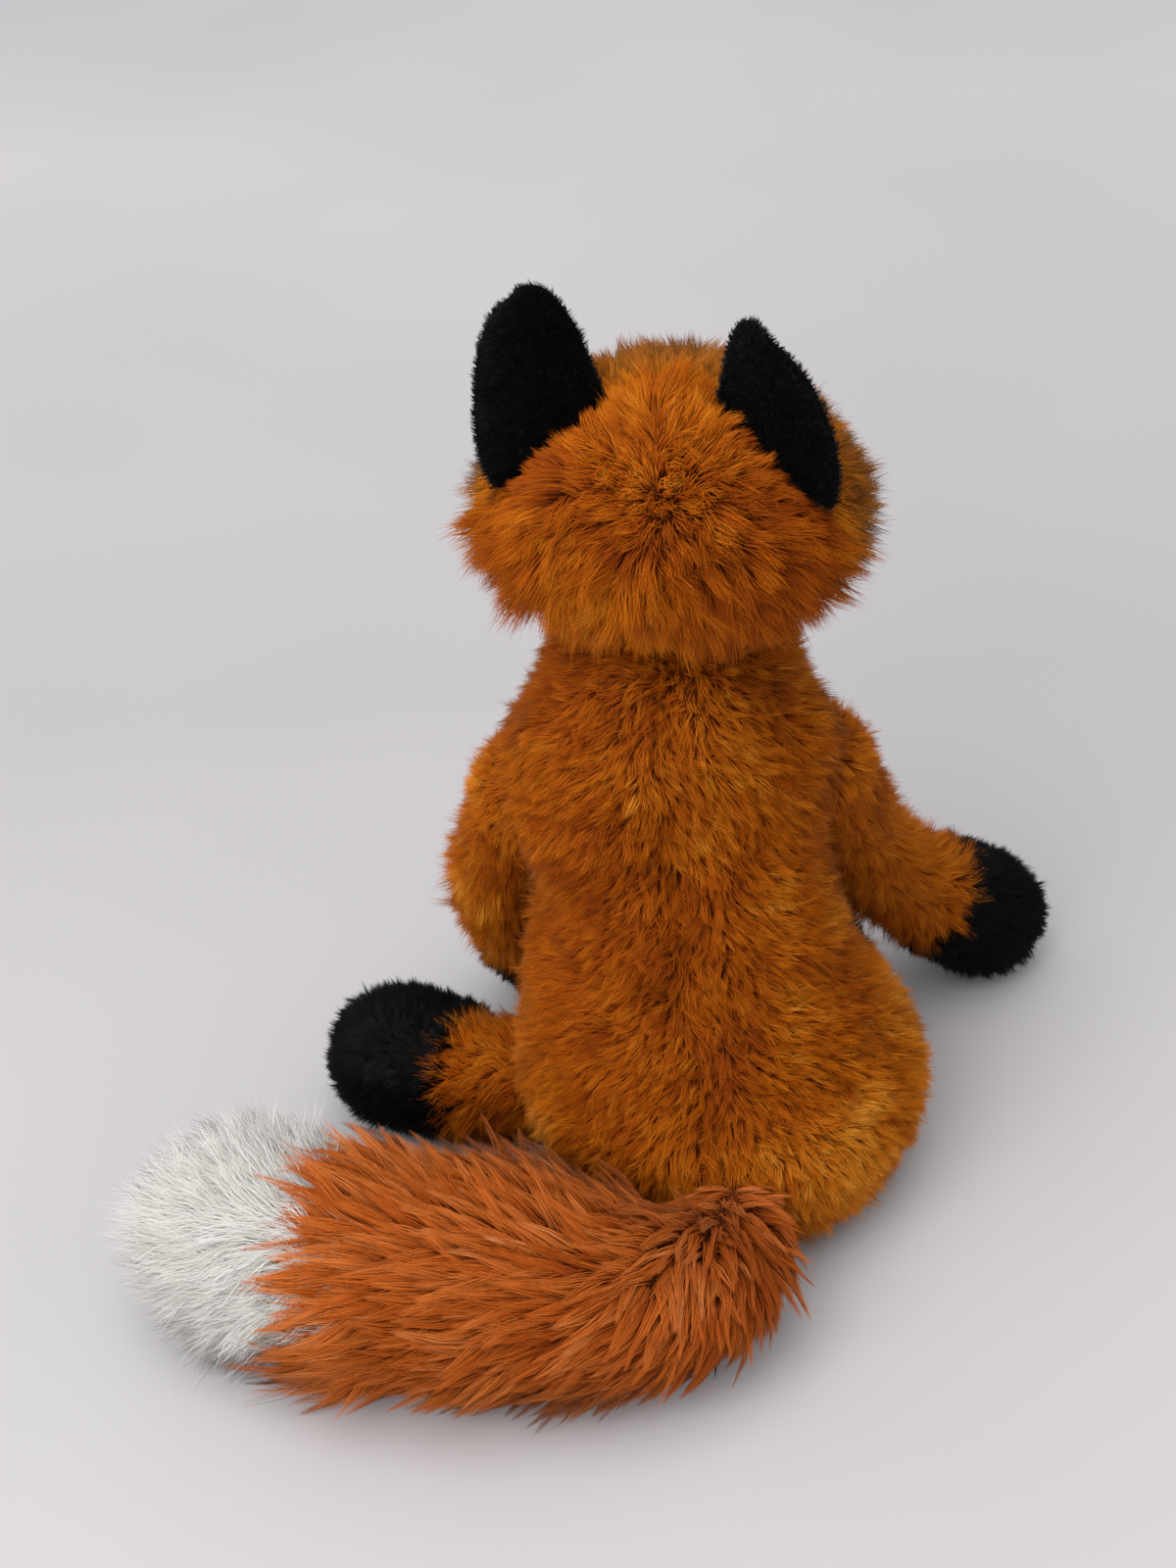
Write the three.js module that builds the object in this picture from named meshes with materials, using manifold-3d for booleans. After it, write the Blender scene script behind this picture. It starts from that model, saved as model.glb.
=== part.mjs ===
// A plush fox that sits with its tail curled round its left side.
// Millimetres, +Z up. The origin is the middle of the flat seat. The fox faces -Y
// and its own left side is +X. The surfaces lie about half way up the pile.

import * as THREE from 'three';
import { mergeVertices } from 'three/addons/utils/BufferGeometryUtils.js';
import Module from 'manifold-3d';

const wasm = await Module();
wasm.setup();

// Cloth, gaps and cutters
const coverThickness = 4.5; // cloth backing with the lower half of its pile
const seamGap = 0.3; // between two sewn pieces
const jointGap = 0.7; // between a limb's round root and its socket
const neckGap = 0.7; // between the neck, its pad and the hollow under the head
const cutterSize = 700; // a block that is larger than the fox

// Torso
const torsoHeight = 148;
const hipHalfWidth = 54.5;
const hipHalfDepth = 49.5;
const chestForward = 7; // how far the chest leans forward of the seat
const spineSway = 12.5; // how far the shoulders stand to the left of the seat
const spineSwayHeight = 125; // the spine is upright above this height
const baseSeamHeight = 10; // seam between the seat panel and the panels above it
const bellySeamForward = 22; // seam between the belly and the back
const neckHeight = 156;
const neckRadius = 34;
const neckPadThickness = 3;
const beanBagHalfWidth = 33;
const beanBagHalfDepth = 25;
const beanBagHalfHeight = 11;

// Torso stations: shares of its height, hip half width, hip half depth and lean
const torsoHeightShares = [-0.03, 0.04, 0.12, 0.235, 0.39, 0.565, 0.73, 0.87, 1];
const torsoWidthShares = [0.62, 0.8, 0.93, 1, 0.92, 0.8, 0.72, 0.75, 0.77];
const torsoDepthShares = [0.5, 0.76, 0.9, 1, 0.92, 0.81, 0.72, 0.67, 0.69];
const torsoLeanShares = [-0.3, -0.2, -0.1, 0, 0.28, 0.57, 0.86, 1, 1];

// Head, in the head's own frame with its origin in the middle of the head
const headAboveNeck = 55;
const headHalfWidth = 47;
const headHalfDepth = 39;
const headHalfHeight = 33;
const faceSeamBack = 14; // seam between the face and the back of the head
const chinSeamForward = 13; // the white chin and cheeks lie forward of this
const chinSeamDrop = 6; // and below this
const headHeightShares = [-1, -0.9, -0.66, -0.3, 0.1, 0.45, 0.76, 0.94, 1];
const headWidthShares = [0.18, 0.5, 0.82, 1, 0.985, 0.86, 0.62, 0.34, 0.12];
const headDepthShares = [0.18, 0.46, 0.76, 0.96, 1, 0.89, 0.64, 0.35, 0.12];

// Muzzle, from the middle of the head to its blunt tip
const muzzleLength = 60;
const muzzleHalfWidth = 21;
const muzzleHalfHeight = 16;
const muzzleDrop = 9;
const muzzleReachShares = [0.2, 0.45, 0.65, 0.82, 0.94, 1];
const muzzleGirthShares = [1, 0.97, 0.86, 0.68, 0.48, 0.32];

// Eyes and nose, each a button on a stem with a washer inside the cover
const eyeApart = 17;
const eyeForward = 34;
const eyeRise = 5;
const eyeRadius = 5.5;
const eyeBulge = 3.6;
const noseRadius = 6.5;
const noseBulge = 4.2;
const stemRadius = 1.6;
const stemEnd = 1.2; // how far a stem passes its washer
const washerRadius = 6;
const washerThickness = 1.4;

// Ears, whose roots run along a line on the head from inner to outer end
const earInnerShares = [0.28, 0.22, 0.935];
const earOuterShares = [0.84, 0.47, 0.27];
const earHeight = 26;
const earHalfThickness = 3.2;
const earTipLean = 19.5; // how far the tip stands towards the middle of the head
const earCup = 3; // how far the side edges curve forward
const earSlitDepth = 16; // longer than the slit in the head is deep
const earHeightShares = [-0.12, -0.075, 0, 0.25, 0.5, 0.75, 0.91, 1];
const earWidthShares = [0.85, 0.95, 1, 0.98, 0.87, 0.67, 0.45, 0.2];
const earThicknessShares = [0.3, 0.8, 1, 0.95, 0.9, 0.8, 0.65, 0.4];
const earLeanShares = [0, 0, 0, 0.18, 0.44, 0.7, 0.88, 1];
const earCupShares = [0, 0, 0, 0.5, 1, 1, 0.8, 0.4];

// Limb roots in the torso's flanks, each a ball with the radius of its cover
const shoulderApart = 37;
const shoulderHeight = 128;
const shoulderForward = 13;
const shoulderRadius = 16;
const hipApart = 36.5;
const hipHeight = 24;
const hipForward = 18;
const hipRadius = 19;
const tailRootRadius = 14;

// Limb bends and ends: out to the fox's left, forward of the root, and above the floor
const leftArm = {
  bendOut: 13, bendForward: 37, bendHeight: 66, endOut: 2, endForward: 70, endHeight: 20,
};
const rightArm = {
  bendOut: -19, bendForward: 38, bendHeight: 66, endOut: -57, endForward: 65, endHeight: 20,
};
const leftLeg = {
  bendOut: 27, bendForward: 6, bendHeight: 23, endOut: 54, endForward: 15, endHeight: 21,
};
const rightLeg = {
  bendOut: 4, bendForward: 31, bendHeight: 23, endOut: 13, endForward: 58, endHeight: 21,
};
const armGirth = 17;
const armGirthShares = [0.78, 0.84, 0.86, 0.9, 1];
const legGirth = 18;
const legGirthShares = [0.84, 0.88, 0.9, 0.94, 1];

// Tail: shares of how far it reaches to the left, to the back and above the floor
const tailSide = 130;
const tailBack = 76;
const tailHeight = 31;
const tailGirth = 29.5;
const tailSideShares = [0.033, 0.076, 0.239, 0.515, 0.73, 0.885, 1];
const tailBackShares = [0.55, 0.87, 1, 0.9, 0.8, 0.69, 0.58];
const tailHeightShares = [0.87, 0.93, 0.97, 1, 1, 0.97, 0.94];
const tailGirthShares = [0.4, 0.7, 0.87, 0.98, 1, 0.97, 0.88];

// Joint ranges, in degrees from the pose as it sits
const armLift = [0, 80];
const leftLegSwing = [-25, 0];
const rightLegSwing = [-12, 12];
const tailSwing = [0, 45];
const earFold = [-20, 20];
const headTurnDegrees = -12; // the head as it sits looks a little to its right
const headRollDegrees = -2; // and leans a little to its right
const earTiltDegrees = { left: -4, right: 9 }; // how far each ear leans back as it sits
const neckPadReachDegrees = 34;

// Shares of a limb's length at which its end piece is sewn on
const pawSeamShare = 0.89;
const footSeamShare = 0.68;
const tipSeamShare = 0.78;
const tailEndStretchShare = 1.15; // the tail's end is longer than half a ball
const endCapDegrees = 76;

// Colours
const foxOrange = 0xb06a22;
const foxRust = 0xb0552a;
const plushBlack = 0x0b0b0f;
const plushWhite = 0xe9e4da;
const fillingWhite = 0xf2f1ec;
const beadGrey = 0xb9b4aa;
const eyeBlack = 0x0a0908;
const washerWhite = 0xdedede;
const clothRoughness = 0.95;
const plasticRoughness = 0.25;

// Numbers of facets
const torsoSides = 18;
const torsoSteps = 7;
const domeSteps = 3;
const headSides = 18;
const headSteps = 6;
const muzzleSides = 12;
const muzzleSteps = 4;
const limbSides = 10;
const limbSteps = 4;
const tailSides = 12;
const tailSteps = 7;
const endSteps = 2;
const ballSides = 16;
const ballSteps = 6;
const neckSides = 24;
const neckSteps = 12;
const buttonSides = 10;
const buttonSteps = 2;
const earSides = 5;
const earSteps = 4;
const slitSteps = 4;
const seamSteps = 3;
const sweepPoses = 3;

const up = new THREE.Vector3(0, 0, 1);
const left = new THREE.Vector3(1, 0, 0);
const back = new THREE.Vector3(0, 1, 0);
const radians = THREE.MathUtils.degToRad;
const fillingInset = coverThickness + seamGap; // from the outside of a cover to its filling

// A smooth value at a share of the way through a list of shares.
function shareAt(shares, way) {
  const points = shares.map((share, i) => new THREE.Vector2(i, share));
  return new THREE.SplineCurve(points).getPoint(way).y;
}

function spineAt(height) {
  const climb = Math.min(Math.max(height / spineSwayHeight, 0), 1);
  return spineSway * Math.sin((climb * Math.PI) / 2);
}

// Rings and skins
function ring(centre, across, along, sides) {
  return Array.from({ length: sides }, (_, i) => {
    const turn = (i / sides) * 2 * Math.PI;
    const point = centre.clone().addScaledVector(across, Math.cos(turn));
    return point.addScaledVector(along, Math.sin(turn));
  });
}

// Closed surface through rings that all have the same number of points.
function skin(rings) {
  const count = rings[0].length;
  const points = rings.flat();
  const triangles = [];
  for (let row = 0; row + 1 < rings.length; row += 1) {
    for (let i = 0; i < count; i += 1) {
      const a = row * count + i;
      const b = row * count + ((i + 1) % count);
      triangles.push(a, b, a + count, b, b + count, a + count);
    }
  }
  for (const end of [0, rings.length - 1]) {
    const middle = new THREE.Vector3();
    for (const point of rings[end]) middle.addScaledVector(point, 1 / count);
    const hub = points.push(middle) - 1;
    for (let i = 0; i < count; i += 1) {
      const a = end * count + i;
      const b = end * count + ((i + 1) % count);
      triangles.push(...(end === 0 ? [hub, b, a] : [hub, a, b]));
    }
  }
  let volume = 0;
  for (let i = 0; i < triangles.length; i += 3) {
    const [a, b, c] = triangles.slice(i, i + 3).map((index) => points[index]);
    volume += a.dot(new THREE.Vector3().crossVectors(b, c));
  }
  const geometry = new THREE.BufferGeometry().setFromPoints(points);
  geometry.setIndex(volume < 0 ? triangles.reverse() : triangles);
  return geometry;
}

// Rings that rise through elliptical stations.
function stationRings(shares, size, centreAt, steps, sides) {
  return Array.from({ length: steps + 1 }, (_, i) => {
    const way = i / steps;
    const height = shareAt(shares.height, way) * size.height;
    const across = new THREE.Vector3(shareAt(shares.width, way) * size.halfWidth, 0, 0);
    const along = new THREE.Vector3(0, shareAt(shares.depth, way) * size.halfDepth, 0);
    return ring(centreAt(height, way), across, along, sides);
  });
}

// The surface pushed out along its own normals, or in where the distance is below zero.
function grown(geometry, distance) {
  const result = geometry.clone();
  result.computeVertexNormals();
  const { position, normal } = result.attributes;
  for (let i = 0; i < position.count; i += 1) {
    const point = new THREE.Vector3().fromBufferAttribute(position, i);
    const outward = new THREE.Vector3().fromBufferAttribute(normal, i);
    point.addScaledVector(outward, distance);
    position.setXYZ(i, point.x, point.y, point.z);
  }
  return result;
}

// Solids
function solidOf(geometry) {
  const plain = geometry.clone();
  plain.deleteAttribute('normal');
  plain.deleteAttribute('uv');
  const merged = mergeVertices(plain);
  const corners = Array.from(merged.index.array);
  const kept = [];
  for (let i = 0; i < corners.length; i += 3) {
    const [a, b, c] = corners.slice(i, i + 3);
    if (a !== b && b !== c && c !== a) kept.push(a, b, c);
  }
  const vertProperties = new Float32Array(merged.attributes.position.array);
  const triVerts = new Uint32Array(kept);
  return new wasm.Manifold(new wasm.Mesh({ numProp: 3, vertProperties, triVerts }));
}

function geometryOf(solid) {
  const { vertProperties, triVerts } = solid.getMesh();
  const positions = new THREE.BufferAttribute(new Float32Array(vertProperties), 3);
  const geometry = new THREE.BufferGeometry().setAttribute('position', positions);
  return geometry.setIndex(Array.from(triVerts));
}

function joined(solids) {
  return solids.reduce((whole, solid) => whole.add(solid));
}

// A ball whose rings of facets run round an axis, so that it turns freely about it.
function ball(centre, radius, axis = up, sides = ballSides, steps = ballSteps) {
  const turn = new THREE.Quaternion().setFromUnitVectors(back, axis);
  const sphere = new THREE.SphereGeometry(radius, sides, steps).applyQuaternion(turn);
  return solidOf(sphere.translate(centre.x, centre.y, centre.z));
}

function neckBall(centre, radius) {
  return ball(centre, radius, up, neckSides, neckSteps);
}

// A block whose one face passes through a point, on the side that the normal shows.
function blockBeyond(point, normal) {
  const turn = new THREE.Quaternion().setFromUnitVectors(up, normal.clone().normalize());
  const box = new THREE.BoxGeometry(cutterSize, cutterSize, cutterSize);
  box.translate(0, 0, cutterSize / 2).applyQuaternion(turn);
  return solidOf(box.translate(point.x, point.y, point.z));
}

// The two parts of a solid on either side of a plane, with half a gap cut from each.
function parted(solid, point, normal, gap = seamGap) {
  const toward = normal.clone().normalize();
  const beyond = point.clone().addScaledVector(toward, gap / 2);
  const before = point.clone().addScaledVector(toward, -gap / 2);
  return {
    before: solid.intersect(blockBeyond(before, toward.clone().negate())),
    beyond: solid.intersect(blockBeyond(beyond, toward)),
  };
}

// A form as it stands at the low end, the middle and the high end of a joint's range.
function sweptForm(form, centre, axis, [low, high]) {
  const there = new THREE.Matrix4().makeTranslation(centre);
  const home = new THREE.Matrix4().makeTranslation(centre.clone().negate());
  const poses = Array.from({ length: sweepPoses }, (_, i) => {
    const degrees = low + ((high - low) * i) / (sweepPoses - 1);
    const spin = new THREE.Matrix4().makeRotationAxis(axis, radians(degrees));
    const pose = there.clone().multiply(spin).multiply(home);
    return solidOf(geometryOf(form).applyMatrix4(pose));
  });
  return joined(poses);
}

function piece(name, solid, color, roughness = clothRoughness) {
  const material = new THREE.MeshStandardMaterial({ color, roughness, metalness: 0 });
  const mesh = new THREE.Mesh(geometryOf(solid), material);
  mesh.name = name;
  return mesh;
}

// Torso form: a pear on a flat seat, with a round neck on top
const neckCentre = new THREE.Vector3(spineAt(neckHeight), -chestForward, neckHeight);

function torsoRings() {
  const rings = stationRings(
    { height: torsoHeightShares, width: torsoWidthShares, depth: torsoDepthShares },
    { height: torsoHeight, halfWidth: hipHalfWidth, halfDepth: hipHalfDepth },
    (height, way) =>
      new THREE.Vector3(spineAt(height), -chestForward * shareAt(torsoLeanShares, way), height),
    torsoSteps,
    torsoSides,
  );
  for (let i = 0; i <= domeSteps; i += 1) {
    const turn = (radians(endCapDegrees) * i) / domeSteps;
    const centre = neckCentre.clone().addScaledVector(up, neckRadius * Math.sin(turn));
    const across = left.clone().multiplyScalar(neckRadius * Math.cos(turn));
    const along = back.clone().multiplyScalar(neckRadius * Math.cos(turn));
    rings.push(ring(centre, across, along, torsoSides));
  }
  return rings;
}

const torsoSkin = skin(torsoRings());

function torsoForm(grow) {
  return solidOf(grown(torsoSkin, grow));
}

// Limbs
function flankPoint(side, apart, forward, height) {
  return new THREE.Vector3(spineAt(height) + side * apart, -forward, height);
}

function limbPath(root, pose) {
  return [
    root,
    new THREE.Vector3(root.x + pose.bendOut, root.y - pose.bendForward, pose.bendHeight),
    new THREE.Vector3(root.x + pose.endOut, root.y - pose.endForward, pose.endHeight),
  ];
}

function arm(side, pose) {
  const root = flankPoint(side, shoulderApart, shoulderForward, shoulderHeight);
  return {
    root,
    path: limbPath(root, pose),
    rootRadius: shoulderRadius,
    axis: left.clone().negate(),
    range: armLift,
    girth: armGirth,
    girthShares: armGirthShares,
    endStretchShare: 1,
    seamShare: pawSeamShare,
    steps: limbSteps,
    sides: limbSides,
  };
}

function leg(side, pose, range) {
  const root = flankPoint(side, hipApart, hipForward, hipHeight);
  return {
    root,
    path: limbPath(root, pose),
    rootRadius: hipRadius,
    axis: up,
    range,
    girth: legGirth,
    girthShares: legGirthShares,
    endStretchShare: 1,
    seamShare: footSeamShare,
    steps: limbSteps,
    sides: limbSides,
  };
}

function tailLimb() {
  const path = tailSideShares.map((share, i) => {
    const behind = tailBackShares[i] * tailBack;
    return new THREE.Vector3(share * tailSide, behind, tailHeightShares[i] * tailHeight);
  });
  return {
    root: path[0],
    path,
    rootRadius: tailRootRadius,
    axis: up,
    range: tailSwing,
    girth: tailGirth,
    girthShares: tailGirthShares,
    endStretchShare: tailEndStretchShare,
    seamShare: tipSeamShare,
    steps: tailSteps,
    sides: tailSides,
  };
}

// A limb's round, tapering tube with a domed end, drawn in by an inset.
function limbTube(limb, inset) {
  const curve = new THREE.CatmullRomCurve3(limb.path, false, 'catmullrom');
  const frames = curve.computeFrenetFrames(limb.steps, false);
  const ringAt = (centre, radius, row) => {
    const across = frames.normals[row].clone().multiplyScalar(radius);
    const along = frames.binormals[row].clone().multiplyScalar(radius);
    return ring(centre, across, along, limb.sides);
  };
  const rings = Array.from({ length: limb.steps + 1 }, (_, i) => {
    const radius = limb.girth * shareAt(limb.girthShares, i / limb.steps) - inset;
    return ringAt(curve.getPointAt(i / limb.steps), radius, i);
  });
  const endRadius = limb.girth * shareAt(limb.girthShares, 1) - inset;
  for (let i = 1; i <= endSteps; i += 1) {
    const turn = (radians(endCapDegrees) * i) / endSteps;
    const reach = endRadius * limb.endStretchShare * Math.sin(turn);
    const centre = curve.getPointAt(1).addScaledVector(frames.tangents[limb.steps], reach);
    rings.push(ringAt(centre, endRadius * Math.cos(turn), limb.steps));
  }
  return solidOf(skin(rings));
}

// The ball in which a limb begins, drawn in by an inset. It turns in the torso's socket.
function rootBall(limb, inset) {
  return ball(limb.root, limb.rootRadius - inset, limb.axis);
}

// A cover and an end piece round stuffing. Past its root a limb keeps clear of the torso.
function limbSolids(limb) {
  const reversed = limb.range.map((degrees) => -degrees);
  const host = sweptForm(torsoForm(jointGap), limb.root, limb.axis, reversed);
  const hostPastRoot = host.subtract(rootBall(limb, -jointGap / 4));
  const limbForm = (inset) => limbTube(limb, inset).add(rootBall(limb, inset));
  const shell = limbForm(0).subtract(limbForm(coverThickness)).subtract(hostPastRoot);
  const filling = limbForm(fillingInset).subtract(hostPastRoot);
  const curve = new THREE.CatmullRomCurve3(limb.path, false, 'catmullrom');
  const seam = curve.getPointAt(limb.seamShare);
  const { before, beyond } = parted(shell, seam, curve.getTangentAt(limb.seamShare));
  return { cover: before, end: beyond, filling };
}

const limbs = {
  arm_left: arm(1, leftArm),
  arm_right: arm(-1, rightArm),
  leg_left: leg(1, leftLeg, leftLegSwing),
  leg_right: leg(-1, rightLeg, rightLegSwing),
  tail: tailLimb(),
};

// Torso solids
const sockets = joined(
  Object.values(limbs).map((limb) => rootBall(limb, -jointGap)),
);

// Everything on one side of the spine seam, which follows the sway of the spine.
function spineSide(side) {
  const shape = new THREE.Shape();
  shape.moveTo(side * cutterSize, -cutterSize / 2);
  for (let i = 0; i <= seamSteps; i += 1) {
    const height = (spineSwayHeight * i) / seamSteps;
    shape.lineTo(spineAt(height) + (side * seamGap) / 2, i === 0 ? -cutterSize / 2 : height);
  }
  shape.lineTo(spineSway + (side * seamGap) / 2, cutterSize);
  shape.lineTo(side * cutterSize, cutterSize);
  const slab = new THREE.ExtrudeGeometry(shape, { depth: cutterSize, bevelEnabled: false });
  return solidOf(slab.translate(0, 0, -cutterSize / 2).rotateX(Math.PI / 2));
}

function aboveSeat(solid, height) {
  return solid.intersect(blockBeyond(new THREE.Vector3(0, 0, height), up));
}

function beanBag(grow) {
  const halfWidth = beanBagHalfWidth + grow;
  const bag = new THREE.SphereGeometry(halfWidth, ballSides, ballSteps).rotateX(Math.PI / 2);
  const depthShare = (beanBagHalfDepth + grow) / halfWidth;
  const heightShare = (beanBagHalfHeight + grow) / halfWidth;
  return solidOf(bag.scale(1, depthShare, heightShare).translate(0, 0, fillingInset));
}

function torsoPieces() {
  const outer = aboveSeat(torsoForm(0), 0);
  const hollow = aboveSeat(torsoForm(-coverThickness), coverThickness);
  const filling = aboveSeat(torsoForm(-fillingInset), fillingInset);
  const shell = outer.subtract(hollow).subtract(sockets);
  const seat = parted(shell, new THREE.Vector3(0, 0, baseSeamHeight), up);
  const sides = parted(seat.beyond, new THREE.Vector3(0, -bellySeamForward, 0), back);
  return [
    piece('base_panel', seat.before, foxOrange),
    piece('belly_panel', sides.before, plushWhite),
    piece('back_panel_left', sides.beyond.intersect(spineSide(1)), foxOrange),
    piece('back_panel_right', sides.beyond.intersect(spineSide(-1)), foxOrange),
    piece('torso_stuffing', filling.subtract(sockets).subtract(beanBag(seamGap)), fillingWhite),
    piece('bean_bag', aboveSeat(beanBag(0), fillingInset).subtract(sockets), beadGrey),
  ];
}

// The pad between the neck and the hollow under the head
function neckPad() {
  const inner = neckRadius + neckGap;
  const outer = inner + neckPadThickness;
  const rim = neckHeight + outer * Math.cos(radians(neckPadReachDegrees));
  const lens = neckBall(neckCentre, outer).subtract(neckBall(neckCentre, inner));
  return piece('neck_stuffing', aboveSeat(lens, rim), fillingWhite);
}

// Head form and muzzle form
const headRings = stationRings(
  { height: headHeightShares, width: headWidthShares, depth: headDepthShares },
  { height: headHalfHeight, halfWidth: headHalfWidth, halfDepth: headHalfDepth },
  (height) => new THREE.Vector3(0, 0, height),
  headSteps,
  headSides,
);
const muzzleRings = stationRings(
  { height: muzzleReachShares, width: muzzleGirthShares, depth: muzzleGirthShares },
  { height: muzzleLength, halfWidth: muzzleHalfWidth, halfDepth: muzzleHalfHeight },
  (reach) => new THREE.Vector3(0, -muzzleDrop, reach),
  muzzleSteps,
  muzzleSides,
);
const headSkin = skin(headRings);
const muzzleSkin = skin(muzzleRings).rotateX(Math.PI / 2);

function headForm(grow) {
  return solidOf(grown(headSkin, grow));
}

function muzzleForm(grow) {
  return solidOf(grown(muzzleSkin, grow));
}

// Ears. A front half faces forward and a back half faces backward.
const headSize = new THREE.Vector3(headHalfWidth, headHalfDepth, headHalfHeight);
const earInner = new THREE.Vector3(...earInnerShares).multiply(headSize);
const earOuter = new THREE.Vector3(...earOuterShares).multiply(headSize);
const earMiddle = earInner.clone().lerp(earOuter, 1 / 2);
const earAlong = earOuter.clone().sub(earInner).normalize();
const earRise = up.clone().addScaledVector(earAlong, -up.dot(earAlong)).normalize();
const earFront = new THREE.Vector3().crossVectors(earAlong, earRise);
const earHalfWidth = earInner.distanceTo(earOuter) / 2;

// An ear's rise and front, as it leans on its root line.
function earFrame(side) {
  const tilt = side > 0 ? earTiltDegrees.left : earTiltDegrees.right;
  const lean = new THREE.Quaternion().setFromAxisAngle(earAlong, radians(-tilt));
  return { rise: earRise.clone().applyQuaternion(lean), front: earFront.clone().applyQuaternion(lean) };
}

// One ring of an ear's front or back half, whose flat side is a gap off the middle.
function earRing(way, side, facing) {
  const { rise, front } = earFrame(side);
  const halfWidth = earHalfWidth * shareAt(earWidthShares, way);
  const thickness = earHalfThickness * shareAt(earThicknessShares, way);
  const cup = earCup * shareAt(earCupShares, way);
  const lean = earTipLean * shareAt(earLeanShares, way);
  const height = earHeight * shareAt(earHeightShares, way);
  const pointAt = (turn, face) => {
    const across = Math.cos(turn);
    const depth = face * thickness * Math.sin(turn) + cup * across * across;
    const point = earMiddle.clone().addScaledVector(rise, height);
    point.addScaledVector(earAlong, across * halfWidth - lean);
    point.addScaledVector(front, depth + (facing * seamGap) / 2);
    return point.multiply(new THREE.Vector3(side, 1, 1));
  };
  const turns = Array.from({ length: earSides + 1 }, (_, i) => (i / earSides) * Math.PI);
  const there = turns.map((turn) => pointAt(turn, facing));
  const home = turns.slice(1, -1).reverse().map((turn) => pointAt(turn, 0));
  return [...there, ...home];
}

function earHalf(side, facing) {
  const rings = Array.from({ length: earSteps + 1 }, (_, i) => earRing(i / earSteps, side, facing));
  return solidOf(skin(rings));
}

// The room that an ear's root needs as it folds: a wedge with a round bottom.
function earSlit(side) {
  const radius = earHalfThickness + jointGap;
  const [backDegrees, frontDegrees] = earFold;
  const shape = new THREE.Shape();
  const edge = (degrees, turn) => {
    const lean = new THREE.Vector2(Math.sin(radians(degrees)), Math.cos(radians(degrees)));
    const foot = new THREE.Vector2(Math.cos(turn), Math.sin(turn)).multiplyScalar(radius);
    return foot.addScaledVector(lean, earSlitDepth);
  };
  const first = radians(-frontDegrees);
  const last = radians(-backDegrees) - Math.PI;
  const from = edge(frontDegrees, first);
  shape.moveTo(from.x, from.y);
  for (let i = 0; i <= slitSteps; i += 1) {
    const turn = first + ((last - first) * i) / slitSteps;
    shape.lineTo(Math.cos(turn) * radius, Math.sin(turn) * radius);
  }
  const to = edge(backDegrees, last);
  shape.lineTo(to.x, to.y);
  const depth = 2 * (earHalfWidth + jointGap);
  const wedge = new THREE.ExtrudeGeometry(shape, { depth, bevelEnabled: false });
  wedge.translate(0, 0, -depth / 2);
  const mirror = new THREE.Vector3(side, 1, 1);
  const { rise, front } = earFrame(side);
  front.multiply(mirror);
  rise.multiply(mirror);
  const along = new THREE.Vector3().crossVectors(front, rise);
  const frame = new THREE.Matrix4().makeBasis(front, rise, along);
  frame.setPosition(earMiddle.clone().multiply(mirror));
  return solidOf(wedge.applyMatrix4(frame));
}

function earPieces(name, side) {
  return [
    piece(`ear_lining_${name}`, earHalf(side, 1), plushBlack),
    piece(`ear_back_${name}`, earHalf(side, -1), plushBlack),
  ];
}

// Buttons: a dome on a stem, and the washer that holds it inside the cover
const stemReach = fillingInset + washerThickness + stemEnd;

function latheAlong(profile, seat, direction) {
  const turn = new THREE.Quaternion().setFromUnitVectors(back, direction);
  const points = profile.map(([radius, height]) => new THREE.Vector2(radius, height));
  const lathe = new THREE.LatheGeometry(points, buttonSides).applyQuaternion(turn);
  return solidOf(lathe.translate(seat.x, seat.y, seat.z));
}

function beadProfile(radius, bulge) {
  const dome = Array.from({ length: buttonSteps }, (_, i) => {
    const turn = (i / buttonSteps) * (Math.PI / 2);
    return [radius * Math.cos(turn), bulge * Math.sin(turn)];
  });
  return [[0, -stemReach], [stemRadius, -stemReach], [stemRadius, 0], ...dome, [0, bulge]];
}

function washerProfile() {
  const inner = stemRadius + seamGap;
  const bottom = -fillingInset - washerThickness;
  const top = -fillingInset;
  return [[inner, bottom], [washerRadius, bottom], [washerRadius, top], [inner, top], [inner, bottom]];
}

// The room round a stem and its washer.
function roomProfile(bulge) {
  const stem = stemRadius + seamGap;
  const washer = washerRadius + seamGap;
  const bottom = -fillingInset - washerThickness - seamGap;
  const top = -fillingInset + seamGap;
  const end = -stemReach - seamGap;
  return [
    [0, end], [stem, end], [stem, bottom], [washer, bottom],
    [washer, top], [stem, top], [stem, bulge], [0, bulge],
  ];
}

// A button on the cover where a line from inside leaves it, square to the surface there.
function button(geometry, from, toward, radius, bulge) {
  const surface = new THREE.Mesh(geometry, new THREE.MeshBasicMaterial({ side: THREE.DoubleSide }));
  const hit = new THREE.Raycaster(from, toward).intersectObject(surface).pop();
  const outward = hit.face.normal.clone();
  const seat = hit.point.clone().addScaledVector(outward, seamGap);
  return {
    bead: latheAlong(beadProfile(radius, bulge), seat, outward),
    washer: latheAlong(washerProfile(), seat, outward),
    room: latheAlong(roomProfile(bulge), seat, outward),
    behind: seat.clone().addScaledVector(outward, -fillingInset - washerThickness - seamGap),
  };
}

function eye(side) {
  const toward = new THREE.Vector3(side * eyeApart, -eyeForward, eyeRise).normalize();
  return button(headSkin, new THREE.Vector3(), toward, eyeRadius, eyeBulge);
}

function nose() {
  const middle = new THREE.Vector3(0, 0, -muzzleDrop);
  return button(muzzleSkin, middle, back.clone().negate(), noseRadius, noseBulge);
}

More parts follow.
